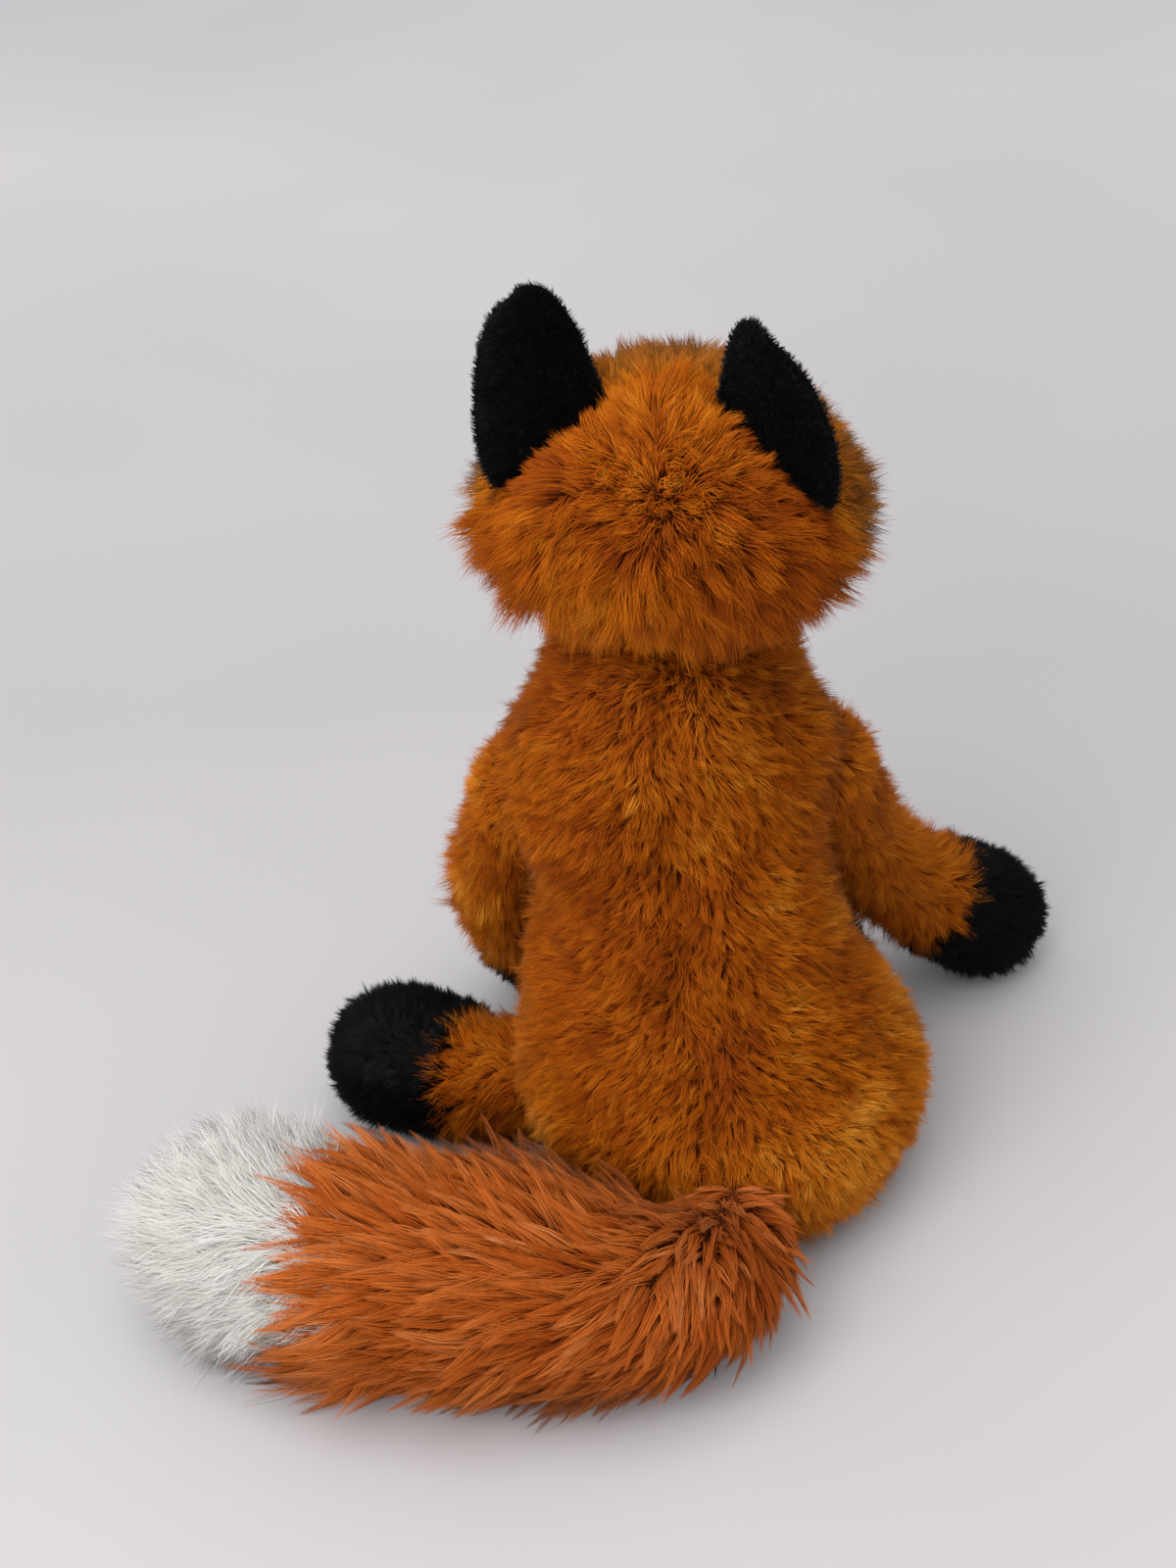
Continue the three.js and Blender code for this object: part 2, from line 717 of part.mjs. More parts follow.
// Head solids
function headPieces() {
  const dishCentre = new THREE.Vector3(0, 0, -headAboveNeck);
  const dish = neckBall(dishCentre, neckRadius + neckPadThickness + 2 * neckGap);
  const eyes = { left: eye(1), right: eye(-1) };
  const noseSet = nose();
  const rooms = [dish, earSlit(1), earSlit(-1), eyes.left.room, eyes.right.room, noseSet.room];
  const cutOut = joined(rooms);

  const throat = muzzleForm(-coverThickness);
  const shell = headForm(0).subtract(headForm(-coverThickness)).subtract(throat).subtract(cutOut);
  const noseEnd = blockBeyond(noseSet.behind, back.clone().negate());
  const snoutFilling = muzzleForm(-fillingInset).subtract(noseEnd);
  const filling = headForm(-fillingInset).add(snoutFilling).subtract(cutOut);
  const muzzle = muzzleForm(0).subtract(throat).subtract(headForm(seamGap)).subtract(cutOut);

  const faceSeam = new THREE.Vector3(0, faceSeamBack, 0);
  const { before: front, beyond: rear } = parted(shell, faceSeam, back);
  const { before: rightRear, beyond: leftRear } = parted(rear, new THREE.Vector3(), left);
  const below = new THREE.Vector3(0, 0, -chinSeamDrop);
  const forward = new THREE.Vector3(0, -chinSeamForward, 0);
  const belowSeam = parted(front, below, up);
  const chin = parted(belowSeam.before, forward, back);
  const chinRoom = blockBeyond(below.clone().addScaledVector(up, seamGap / 2), up.clone().negate());
  const chinFront = forward.clone().addScaledVector(back, seamGap / 2);
  const face = front.subtract(chinRoom.intersect(blockBeyond(chinFront, back.clone().negate())));

  return [
    piece('head_back_left', leftRear, foxOrange),
    piece('head_back_right', rightRear, foxOrange),
    piece('face_panel', face, foxOrange),
    piece('chin_panel', chin.before, plushWhite),
    piece('muzzle_cover', muzzle, plushWhite),
    piece('head_stuffing', filling, fillingWhite),
    piece('eye_left', eyes.left.bead, eyeBlack, plasticRoughness),
    piece('eye_right', eyes.right.bead, eyeBlack, plasticRoughness),
    piece('eye_washer_left', eyes.left.washer, washerWhite, plasticRoughness),
    piece('eye_washer_right', eyes.right.washer, washerWhite, plasticRoughness),
    piece('nose', noseSet.bead, eyeBlack, plasticRoughness),
    piece('nose_washer', noseSet.washer, washerWhite, plasticRoughness),
    ...earPieces('left', 1),
    ...earPieces('right', -1),
  ];
}

function limbPieces(limb, names, coverColour, endColour) {
  const { cover, end, filling } = limbSolids(limb);
  return [
    piece(names.cover, cover, coverColour),
    piece(names.end, end, endColour),
    piece(names.filling, filling, fillingWhite),
  ];
}

// The fox
const fox = new THREE.Group();
fox.add(...torsoPieces(), neckPad());
for (const side of ['left', 'right']) {
  const armNames = {
    cover: `arm_cover_${side}`, end: `paw_${side}`, filling: `arm_stuffing_${side}`,
  };
  const legNames = {
    cover: `leg_cover_${side}`, end: `foot_${side}`, filling: `leg_stuffing_${side}`,
  };
  fox.add(...limbPieces(limbs[`arm_${side}`], armNames, foxOrange, plushBlack));
  fox.add(...limbPieces(limbs[`leg_${side}`], legNames, foxOrange, plushBlack));
}
const tailNames = { cover: 'tail_cover', end: 'tail_tip', filling: 'tail_stuffing' };
fox.add(...limbPieces(limbs.tail, tailNames, foxRust, plushWhite));

const head = new THREE.Group();
head.quaternion.setFromAxisAngle(back, radians(headRollDegrees));
head.position.copy(up).multiplyScalar(headAboveNeck).applyQuaternion(head.quaternion).add(neckCentre);
head.rotateZ(radians(headTurnDegrees));
head.add(...headPieces());
fox.add(head);

export default fox;
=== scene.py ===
import math

import bpy
import numpy as np
from mathutils import Matrix, Vector, kdtree, noise


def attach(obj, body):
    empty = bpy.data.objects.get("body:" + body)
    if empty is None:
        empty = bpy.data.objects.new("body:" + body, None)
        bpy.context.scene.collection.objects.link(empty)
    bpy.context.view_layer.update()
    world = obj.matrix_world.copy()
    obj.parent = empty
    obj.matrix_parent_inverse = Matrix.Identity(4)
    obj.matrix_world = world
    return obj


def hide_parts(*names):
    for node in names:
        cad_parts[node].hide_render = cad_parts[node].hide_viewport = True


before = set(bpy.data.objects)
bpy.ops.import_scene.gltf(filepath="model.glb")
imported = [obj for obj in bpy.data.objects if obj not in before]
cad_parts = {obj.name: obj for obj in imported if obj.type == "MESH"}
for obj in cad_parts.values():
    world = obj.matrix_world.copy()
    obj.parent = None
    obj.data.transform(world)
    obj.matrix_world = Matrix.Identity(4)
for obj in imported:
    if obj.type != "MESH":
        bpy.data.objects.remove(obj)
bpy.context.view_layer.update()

# A seated plush fox. Sizes are in millimetres here and in metres in the scene.
MM = 0.001
DENSITY = 1.0  # share of the hairs that are made
PILE = 5.0  # from the solids' surface down to the backing of the back's pile
FLOOR_GAP = 1.2  # from the floor to the lowest backing
BELLY_SEAM = -22  # the y at which the belly's pile meets the back's


# Small tools


def unit(a):
    """Vectors of length one."""
    return a / np.maximum(np.linalg.norm(a, axis=-1, keepdims=True), 1e-9)


def rows(a, b):
    """Dot product of each row of a with the same row of b."""
    return np.sum(a * b, axis=-1, keepdims=True)


def smooth_step(a, b, x):
    """Rises smoothly from 0 where x is a to 1 where x is b, which may be less than a."""
    t = np.clip((x - a) / (b - a), 0, 1)
    return t * t * (3 - 2 * t)


def through(values, way):
    """A smooth curve through evenly spaced values, at shares of the way through them."""
    v = np.asarray(values, float)
    x = np.atleast_1d(way) * (len(v) - 1)
    i = np.clip(x.astype(int), 0, len(v) - 2)
    t = (x - i).reshape(-1, *([1] * (v.ndim - 1)))
    a, b = v[np.maximum(i - 1, 0)], v[i]
    c, d = v[i + 1], v[np.minimum(i + 2, len(v) - 1)]
    m, n = (c - a) / 2, (d - b) / 2
    return (2 * b - 2 * c + m + n) * t**3 + (3 * c - 3 * b - 2 * m - n) * t**2 + m * t + b


def wobble(points, scale, seed):
    """Soft noise from about -1 to 1 at points in millimetres."""
    shift = Vector((seed * 7.3, seed * 3.1, seed * 5.7))
    return np.array([noise.noise(Vector(p) / scale + shift) for p in points]) * 1.6


def turned(vectors, axes, angles):
    """Each vector turned about its own axis."""
    c, s = np.cos(angles)[:, None], np.sin(angles)[:, None]
    return vectors * c + np.cross(axes, vectors) * s + axes * rows(axes, vectors) * (1 - c)


def mesh_object(name, points, faces):
    me = bpy.data.meshes.new(name)
    me.from_pydata([tuple(p) for p in np.asarray(points) * MM], [], faces)
    me.polygons.foreach_set("use_smooth", [True] * len(me.polygons))
    me.update()
    ob = bpy.data.objects.new(name, me)
    bpy.context.scene.collection.objects.link(ob)
    return ob


def lofted(rings):
    """Points and faces of a closed surface through rings of equally many points."""
    count, sides = rings.shape[:2]
    points = np.vstack([rings.reshape(-1, 3), rings[0].mean(0), rings[-1].mean(0)])
    faces = []
    for r in range(count - 1):
        for i in range(sides):
            j = (i + 1) % sides
            faces.append((r * sides + i, r * sides + j, (r + 1) * sides + j, (r + 1) * sides + i))
    low, high, top = count * sides, count * sides + 1, (count - 1) * sides
    for i in range(sides):
        j = (i + 1) % sides
        faces.append((low, j, i))
        faces.append((high, top + i, top + j))
    return points, faces


def read(ob):
    """Vertices in millimetres, vertex normals and triangles of an object's mesh."""
    me = ob.data
    v = np.empty(len(me.vertices) * 3)
    me.vertices.foreach_get("co", v)
    n = np.empty(len(me.vertices) * 3, np.float32)
    me.vertex_normals.foreach_get("vector", n)
    me.calc_loop_triangles()
    t = np.empty(len(me.loop_triangles) * 3, np.int32)
    me.loop_triangles.foreach_get("vertices", t)
    return v.reshape(-1, 3) / MM, n.reshape(-1, 3).astype(float), t.reshape(-1, 3)


def write(ob, points):
    ob.data.vertices.foreach_set("co", (points * MM).astype(np.float32).ravel())
    ob.data.update()


def facing_out(ob):
    """Turns the faces of a closed mesh outward."""
    v, _, t = read(ob)
    a, b, c = v[t[:, 0]], v[t[:, 1]], v[t[:, 2]]
    if np.sum(a * np.cross(b, c)) < 0:
        ob.data.flip_normals()
    ob.data.update()
    return ob


def grown(ob, by):
    """Moves each vertex by(points) millimetres along its normal, but not into the floor."""
    v, n, _ = read(ob)
    v = v + n * np.reshape(by(v), (-1, 1))
    v[:, 2] = np.maximum(v[:, 2], FLOOR_GAP)
    write(ob, v)


def tree_of(points):
    tree = kdtree.KDTree(len(points))
    for i, p in enumerate(points):
        tree.insert(p, i)
    tree.balance()
    return tree


def nearest(centres, points):
    """For each point, the index of the nearest centre."""
    find = tree_of(centres).find
    return np.array([find(p)[1] for p in points], int)


# Materials


def new_material(name, roughness, specular):
    mat = bpy.data.materials.new(name)
    mat.use_nodes = True
    nodes, links = mat.node_tree.nodes, mat.node_tree.links
    bsdf = nodes["Principled BSDF"]
    bsdf.inputs["Roughness"].default_value = roughness
    bsdf.inputs["Specular IOR Level"].default_value = specular
    return mat, nodes, links, bsdf


def rgb(hex_value):
    """The linear colour of an sRGB value."""
    parts = [((hex_value >> shift) & 255) / 255 for shift in (16, 8, 0)]
    return tuple(c / 12.92 if c <= 0.04045 else ((c + 0.055) / 1.055) ** 2.4 for c in parts) + (1,)


def ramp(nodes, stops, colours):
    node = nodes.new("ShaderNodeValToRGB")
    ends = node.color_ramp.elements
    while len(ends) < len(stops):
        ends.new(0.5)
    for e, s, c in zip(ends, stops, colours):
        e.position, e.color = s, c
    return node


def multiplied(nodes, links, a, b, into):
    """Multiplies two colours into a socket."""
    mix = nodes.new("ShaderNodeMix")
    mix.data_type, mix.blend_type = "RGBA", "MULTIPLY"
    mix.inputs[0].default_value = 1
    links.new(a, mix.inputs[6])
    links.new(b, mix.inputs[7])
    links.new(mix.outputs[2], into)


def fur_material(name, shades, root, tip, roughness=0.75, sheen=0.06, sheen_tint=(1, 0.8, 0.5, 1)):
    """Colour runs along U from lock to lock, and along V from the root of a hair to its tip. The darker roots are
    painted shade in the gaps of the pile, and the lighter tips are partly the pile's own colour and partly painted
    highlight.
    """
    mat, nodes, links, bsdf = new_material(name, roughness, 0.12)
    uv = nodes.new("ShaderNodeUVMap")
    uv.uv_map = "OFBake"
    parts = nodes.new("ShaderNodeSeparateXYZ")
    links.new(uv.outputs[0], parts.inputs[0])
    along = ramp(nodes, [0, 0.35, 0.7, 1], [rgb(c) for c in shades])
    links.new(parts.outputs[0], along.inputs[0])
    # Painted shade at the roots and painted highlight at the tips, over the pile's own colour
    up = ramp(nodes, [0.1, 0.6, 1], [(*root, 1), (1, 1, 1, 1), (*tip, 1)])
    links.new(parts.outputs[1], up.inputs[0])
    multiplied(nodes, links, along.outputs[0], up.outputs[0], bsdf.inputs["Base Color"])
    bsdf.inputs["Sheen Weight"].default_value = sheen
    bsdf.inputs["Sheen Roughness"].default_value = 0.4
    bsdf.inputs["Sheen Tint"].default_value = sheen_tint
    return mat


def cloth_material(name, dark, light):
    """Knitted backing under the pile."""
    mat, nodes, links, bsdf = new_material(name, 0.95, 0.1)
    where = nodes.new("ShaderNodeTexCoord")
    grain = nodes.new("ShaderNodeTexNoise")
    grain.inputs["Scale"].default_value = 900
    grain.inputs["Detail"].default_value = 4
    links.new(where.outputs["Object"], grain.inputs["Vector"])
    tone = ramp(nodes, [0.3, 0.7], [rgb(dark), rgb(light)])
    links.new(grain.outputs[0], tone.inputs[0])
    links.new(tone.outputs[0], bsdf.inputs["Base Color"])
    bump = nodes.new("ShaderNodeBump")
    bump.inputs["Strength"].default_value = 0.6
    bump.inputs["Distance"].default_value = 0.0006
    links.new(grain.outputs[0], bump.inputs["Height"])
    links.new(bump.outputs[0], bsdf.inputs["Normal"])
    return mat


# root and tip scale each pile's shades: darker roots are painted shade between the hairs, lighter tips partly painted
# highlight
GOLD = fur_material(
    "golden_pile", [0x8C3A00, 0xAC5200, 0xC66C08, 0xE4962C], root=(0.34, 0.2, 0.1), tip=(1.25, 1.38, 2.0))
FOREHEAD = fur_material(
    "short_golden_pile", [0xB45E04, 0xC26C0A, 0xCC7814, 0xD88C30], root=(0.6, 0.5, 0.4), tip=(1.15, 1.2, 1.6))
RUST = fur_material(
    "rust_pile", [0x9C4208, 0xB85816, 0xCE702E, 0xE69C60], root=(0.3, 0.2, 0.13), tip=(1.3, 1.45, 2.0))
WHITE = fur_material(
    "white_pile", [0xD8D4CC, 0xE2DED8, 0xEAE8E4, 0xF0EFEC], root=(0.88, 0.86, 0.84), tip=(1.05, 1.05, 1.05))
BLACK = fur_material(
    "black_pile", [0x020303, 0x040505, 0x060707, 0x0A0C0D], root=(0.6, 0.6, 0.6), tip=(1.2, 1.25, 1.3),
    roughness=0.6, sheen=0.03, sheen_tint=(0.7, 0.9, 1, 1))
GOLD_CLOTH = cloth_material("golden_cloth", 0x5A2C04, 0x7C420C)
BODY_CLOTH = cloth_material("body_cloth", 0x5A2C04, 0x7C420C)
RUST_CLOTH = cloth_material("rust_cloth", 0x5A2A10, 0x7C4020)
WHITE_CLOTH = cloth_material("white_cloth", 0xA8A095, 0xC8C2B8)
BLACK_CLOTH = cloth_material("black_cloth", 0x030304, 0x070709)


def pale_front(mat, at, colour):
    """Gives the backing another colour in front of y = at, where the belly's pile stands on it."""
    nodes, links = mat.node_tree.nodes, mat.node_tree.links
    bsdf = nodes["Principled BSDF"]
    under = bsdf.inputs["Base Color"].links[0].from_socket
    where = nodes.new("ShaderNodeTexCoord")
    parts = nodes.new("ShaderNodeSeparateXYZ")
    links.new(where.outputs["Object"], parts.inputs[0])
    edge = nodes.new("ShaderNodeMapRange")
    edge.inputs[1].default_value, edge.inputs[2].default_value = (at + 1) * MM, (at - 1) * MM
    links.new(parts.outputs[1], edge.inputs[0])
    mix = nodes.new("ShaderNodeMix")
    mix.data_type = "RGBA"
    links.new(edge.outputs[0], mix.inputs[0])
    links.new(under, mix.inputs[6])
    mix.inputs[7].default_value = rgb(colour)
    links.new(mix.outputs[2], bsdf.inputs["Base Color"])


pale_front(BODY_CLOTH, BELLY_SEAM + 1, 0xB4ACA0)


# Fur: every hair is a thin three-sided spike of the mesh


def scatter(skin, per_mm2, rng):
    """Random points on a skin, evenly dense, and the skin's normals there."""
    v, n, t = skin
    a, b, c = v[t[:, 0]], v[t[:, 1]], v[t[:, 2]]
    area = np.linalg.norm(np.cross(b - a, c - a), axis=1) / 2
    count = int(area.sum() * per_mm2)
    pick = np.searchsorted(np.cumsum(area), rng.random(count) * area.sum())
    pick = np.minimum(pick, len(t) - 1)
    r1, r2 = np.sqrt(rng.random(count))[:, None], rng.random(count)[:, None]
    w = np.hstack([1 - r1, r1 * (1 - r2), r1 * r2])
    tri = t[pick]
    p = sum(v[tri[:, k]] * w[:, k : k + 1] for k in range(3))
    m = sum(n[tri[:, k]] * w[:, k : k + 1] for k in range(3))
    return p, unit(m)


def fur(name, body, material, skin, field, density, seed, stands_for, lock=1.5, pull=0.5, spread=0.3,
        width=0.22, segments=2, keep=None, scruff=0.28, lock_turn=0.6, patch=8.0, patch_turn=0.8, tone=0.27,
        tint=None):
    """Covers the part of a skin that keep(points) chooses with hairs, density of them on a square millimetre.

    field(points, normals) gives the combing direction, the length, and the lift in radians.
    Hairs near one centre make a lock, lock millimetres wide, with one turn, length and tone. They lean to its tip by
    the share pull, and end spread times as far apart as they start. Locks drift together over patches of the cloth,
    patch millimetres wide, as pile does where hands have pressed it."""
    rng = np.random.default_rng(seed)
    p, n = scatter(skin, density * DENSITY, rng)
    if keep is not None:
        k = keep(p)
        p, n = p[k], n[k]
    total = len(p) / (density * DENSITY)
    count = min(len(p), max(8, int(total / (lock * lock))))
    leader = rng.choice(len(p), count, replace=False)
    which = nearest(p[leader], p)
    comb, length, lift = field(p, n)
    drift = [wobble(p[leader], scale, seed + k) for scale, k in ((patch, 0), (patch, 7), (3 * patch, 3))]
    turn = (rng.normal(0, lock_turn, count) + patch_turn * drift[0])[which]
    size = np.exp(rng.normal(0, 0.14, count) + 0.1 * drift[1])[which]
    raise_by = (rng.normal(0, 0.2, count) + 0.14 * drift[1])[which]
    shade = (rng.normal(0, 0.5, count) + 0.6 * drift[0] + 0.5 * drift[2])[which]
    along = turned(unit(comb - n * rows(comb, n)), n, turn)
    rise = np.clip(lift + raise_by, 0.08, 1.56)[:, None]
    reach = (along * np.cos(rise) + n * np.sin(rise)) * (length * size)[:, None]
    own = reach * np.exp(rng.normal(0, 0.1, len(p)))[:, None]
    own = own + rng.normal(0, 0.5, p.shape) * (length * scruff)[:, None]
    first = leader[which]
    together = p[first] + reach[first] + (p - p[first]) * spread - p
    tip = own * (1 - pull) + together * pull
    tall = np.linalg.norm(tip, axis=1, keepdims=True)
    bend = n * tall * 0.4 + rng.normal(0, 0.05, p.shape) * tall
    ts = np.linspace(0, 1, segments + 1)
    line = np.stack([p + 2 * t * (1 - t) * bend + t * t * tip for t in ts], axis=1)
    line[:, :, 2] = np.maximum(line[:, :, 2], 0.25 + 0.5 * rng.random((len(p), 1)))  # hairs lie on the floor
    direct = unit(line[:, -1] - line[:, 0])
    side = turned(unit(np.cross(direct, n + rng.normal(0, 0.02, n.shape))), direct, rng.uniform(0, 2.1, len(p)))
    around = np.stack([turned(side, direct, np.full(len(p), a)) for a in np.radians((0, 120, 240))], axis=1)
    wide = width * np.exp(rng.normal(0, 0.18, len(p)))
    thin = 1 - 0.75 * ts[:-1] ** 1.6  # each hair tapers to its tip
    rings = line[:, :-1, None] + around[:, None] * (thin[None, :] * wide[:, None] / 2)[..., None, None]
    verts = np.concatenate([rings.reshape(len(p), -1, 3), line[:, -1:]], axis=1)
    u = 0.45 + tone * shade + rng.normal(0, 0.11, len(p)) + (0 if tint is None else tint(p))
    u = np.clip(u, 0.02, 0.98)
    up = unit(n - direct * rows(n, direct) * 0.6)
    facing = np.concatenate([np.tile(up[:, None] + around * 0.3, (1, segments, 1)), up[:, None]], axis=1)
    strands(name, verts, unit(facing), u, ts, material)
    ob = bpy.data.objects[name]
    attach(ob, body)
    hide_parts(*stands_for)


def strands(name, verts, facing, u, ts, material):
    """The mesh of all hairs. verts and facing are (hairs, points, 3): each hair has rings of three points and a tip,
    and facing is the way each point takes light, which is the cloth's more than the hair's own."""
    hairs, points = verts.shape[:2]
    faces = []
    for low in range(0, points - 4, 3):
        for i in range(3):
            j = (i + 1) % 3
            faces += [(low + i, low + j, low + 3 + j), (low + i, low + 3 + j, low + 3 + i)]
    faces += [(points - 4 + i, points - 4 + (i + 1) % 3, points - 1) for i in range(3)]
    corners = ((np.arange(hairs) * points)[:, None, None] + np.array(faces)).astype(np.int32).ravel()
    me = bpy.data.meshes.new(name)
    me.vertices.add(hairs * points)
    me.vertices.foreach_set("co", (verts * MM).astype(np.float32).ravel())
    me.loops.add(len(corners))
    me.loops.foreach_set("vertex_index", corners)
    me.polygons.add(len(corners) // 3)
    me.polygons.foreach_set("loop_start", np.arange(0, len(corners), 3, dtype=np.int32))
    me.polygons.foreach_set("use_smooth", np.ones(len(corners) // 3, bool))
    uv = np.empty((hairs, points, 2), np.float32)
    uv[..., 0] = u[:, None] + np.append(np.tile([-0.004, 0.004, 0], len(ts) - 1), 0)
    uv[..., 1] = 0.02 + 0.96 * np.append(np.repeat(ts[:-1], 3), 1)
    layer = me.uv_layers.new(name="OFBake")
    layer.data.foreach_set("uv", uv.reshape(-1, 2)[corners].ravel())
    me.update(calc_edges=True)
    me.normals_split_custom_set_from_vertices(facing.reshape(-1, 3).astype(np.float32))
    me.materials.append(material)
    ob = bpy.data.objects.new(name, me)
    bpy.context.scene.collection.objects.link(ob)


def puffed(ob, cap=3.0, frames=12):
    """Blows the skin out by a short cloth simulation of a coarse copy, and keeps its change of form, not of size."""
    scene = bpy.context.scene
    bag = ob.copy()
    bag.data = ob.data.copy()
    scene.collection.objects.link(bag)
    coarse = bag.modifiers.new("coarse", "REMESH")
    coarse.mode, coarse.voxel_size = "VOXEL", 5 * MM
    plain = bpy.data.meshes.new_from_object(bag.evaluated_get(bpy.context.evaluated_depsgraph_get()))
    bag.modifiers.clear()
    bag.data = plain
    start = read(bag)[0]
    cloth = bag.modifiers.new("cloth", "CLOTH")
    cloth.settings.use_pressure = True
    cloth.settings.uniform_pressure_force = 4
    cloth.settings.effector_weights.gravity = 0
    cloth.settings.quality = 5
    cloth.settings.mass = 0.004
    cloth.point_cache.frame_start, cloth.point_cache.frame_end = 1, frames
    for frame_number in range(frames + 1):
        scene.frame_set(frame_number)
    done = bag.evaluated_get(bpy.context.evaluated_depsgraph_get())
    end = np.array([v.co for v in done.data.vertices]) / MM
    moved = end - start
    scene.frame_set(1)
    bpy.data.objects.remove(bag)
    moved = moved * np.minimum(1, cap / np.maximum(np.linalg.norm(moved, axis=1, keepdims=True), 1e-6))
    v, n, _ = read(ob)
    tree = tree_of(start)
    near = [tree.find_n(p, 4) for p in v]
    shift = np.array([np.mean([moved[i] for _, i, _ in found], axis=0) for found in near])
    v = v + shift - n * rows(shift, n).mean()
    v[:, 2] = np.maximum(v[:, 2], FLOOR_GAP)
    write(ob, v)


def stuffed(ob, body, material, stands_for=()):
    """Gives a skin its material and its body, and hides the parts that it stands for, such as the stuffing under it."""
    ob.data.materials.append(material)
    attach(ob, body)
    if stands_for:
        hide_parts(*stands_for)


# Torso
TORSO_HEIGHT, HIP_WIDTH, HIP_DEPTH = 148, 54.5, 49.5
SWAY, SWAY_HEIGHT, FORWARD = 12.5, 125, 7
NECK = np.array([12.5, -7, 156.0])
NECK_RADIUS = 34
WAIST = 84  # height of the fold


def spine(z):
    """How far to the fox's left the spine stands at a height."""
    return SWAY * np.sin(np.clip(np.asarray(z) / SWAY_HEIGHT, 0, 1) * math.pi / 2)


WAYS = np.linspace(0, 1, 60)
# Height, half width, half depth and y of the middle, from the seat to the neck
STATIONS = np.stack([
    through([-0.03, 0.04, 0.12, 0.235, 0.39, 0.565, 0.73, 0.87, 1], WAYS) * TORSO_HEIGHT,
    through([0.62, 0.8, 0.93, 1, 0.92, 0.8, 0.72, 0.75, 0.77], WAYS) * HIP_WIDTH,
    through([0.5, 0.76, 0.9, 1, 0.92, 0.81, 0.72, 0.67, 0.69], WAYS) * HIP_DEPTH,
    -FORWARD * through([-0.3, -0.2, -0.1, 0, 0.28, 0.57, 0.86, 1, 1], WAYS)])


def torso_form():
    """The torso's loft, closed by a dome under the neck."""
    turn = np.linspace(0, 2 * math.pi, 80, endpoint=False)
    rings = []
    for h, w, d, back in STATIONS.T:
        rings.append(np.stack([spine(h) + w * np.cos(turn), back + d * np.sin(turn), h + 0 * turn], axis=1))
    for a in np.radians(np.linspace(6, 80, 9)):
        r, h = NECK_RADIUS * math.cos(a), NECK[2] + NECK_RADIUS * math.sin(a)
        rings.append(np.stack([NECK[0] + r * np.cos(turn), NECK[1] + r * np.sin(turn), h + 0 * turn], axis=1))
    return facing_out(mesh_object("torso_cloth", *lofted(np.array(rings))))


def inside_torso(p):
    """Depth under the torso's surface in millimetres, below zero outside it."""
    w, d, back = (np.interp(p[:, 2], STATIONS[0], STATIONS[k]) for k in (1, 2, 3))
    far = np.hypot((p[:, 0] - spine(p[:, 2])) / w, (p[:, 1] - back) / d)
    return np.where(p[:, 2] > NECK[2], -1, (1 - far) * np.minimum(w, d))


def torso_relief(v):
    """The seam of the back, the fold of the waist, and the fuller right hip and left shoulder."""
    off = v[:, 0] - spine(v[:, 2])
    seam = np.exp(-((off / 4.0) ** 2)) * (v[:, 1] > 0) * smooth_step(10, 30, v[:, 2]) * 1.6
    waist = np.exp(-(((v[:, 2] - WAIST - 0.1 * off) / 7) ** 2)) * (v[:, 1] > -10) * 1.5
    hip = smooth_step(0, -30, off) * np.exp(-(((v[:, 2] - 42) / 24) ** 2)) * 3.0
    shoulder = smooth_step(0, 20, off) * np.exp(-(((v[:, 2] - 132) / 14) ** 2)) * 3.5
    return hip + shoulder - seam - waist + wobble(v, 26, 1) * 1.4


torso = torso_form()
grown(torso, lambda v: -PILE)
grown(torso, torso_relief)
puffed(torso)
torso_skin = read(torso)
stuffed(torso, "torso", BODY_CLOTH, ("torso_stuffing", "bean_bag", "base_panel"))


def torso_field(p, n):
    """Combed down and away from the seam of the back, most at the waist."""
    off = p[:, 0] - spine(p[:, 2])
    side = np.tanh((off + 7 * wobble(p, 22, 4)) / 9)
    behind = smooth_step(-10, 15, p[:, 1])
    waist = np.exp(-(((p[:, 2] - WAIST) / 26) ** 2)) * behind
    near = np.exp(-((off / 14) ** 2)) * behind
    comb = np.stack([side * (0.45 + 1.2 * waist + 0.3 * near), 0 * off, -1 + 0.5 * waist], axis=1)
    length = 6.8 - 2.2 * smooth_step(12, 3, p[:, 2]) - 0.5 * smooth_step(150, 172, p[:, 2])
    lift = 1.2 - 0.15 * near - 0.35 * smooth_step(50, 20, p[:, 2])
    return comb, length, lift


# The head's own frame
HALF = np.array([47.0, 39.0, 33.0])
TURN = np.array(Matrix.Rotation(math.radians(-2), 3, "Y") @ Matrix.Rotation(math.radians(-12), 3, "Z"))
HEAD = NECK + TURN @ (0, 0, 55)


def to_world(p):
    return p @ TURN.T + HEAD


def to_head(p):
    return (p - HEAD) @ TURN


# Limbs


def limb_line(path, count):
    """Evenly spaced points along a smooth curve through the path."""
    dense = through(np.array(path, float), np.linspace(0, 1, 400))
    run = np.r_[0, np.cumsum(np.linalg.norm(np.diff(dense, axis=0), axis=1))]
    at = np.linspace(0, run[-1], count)
    return np.stack([np.interp(at, run, dense[:, k]) for k in range(3)], axis=1)


HIDDEN_CAP = 0.35  # how far a cap that lies in the next piece bulges, as a share of a round one


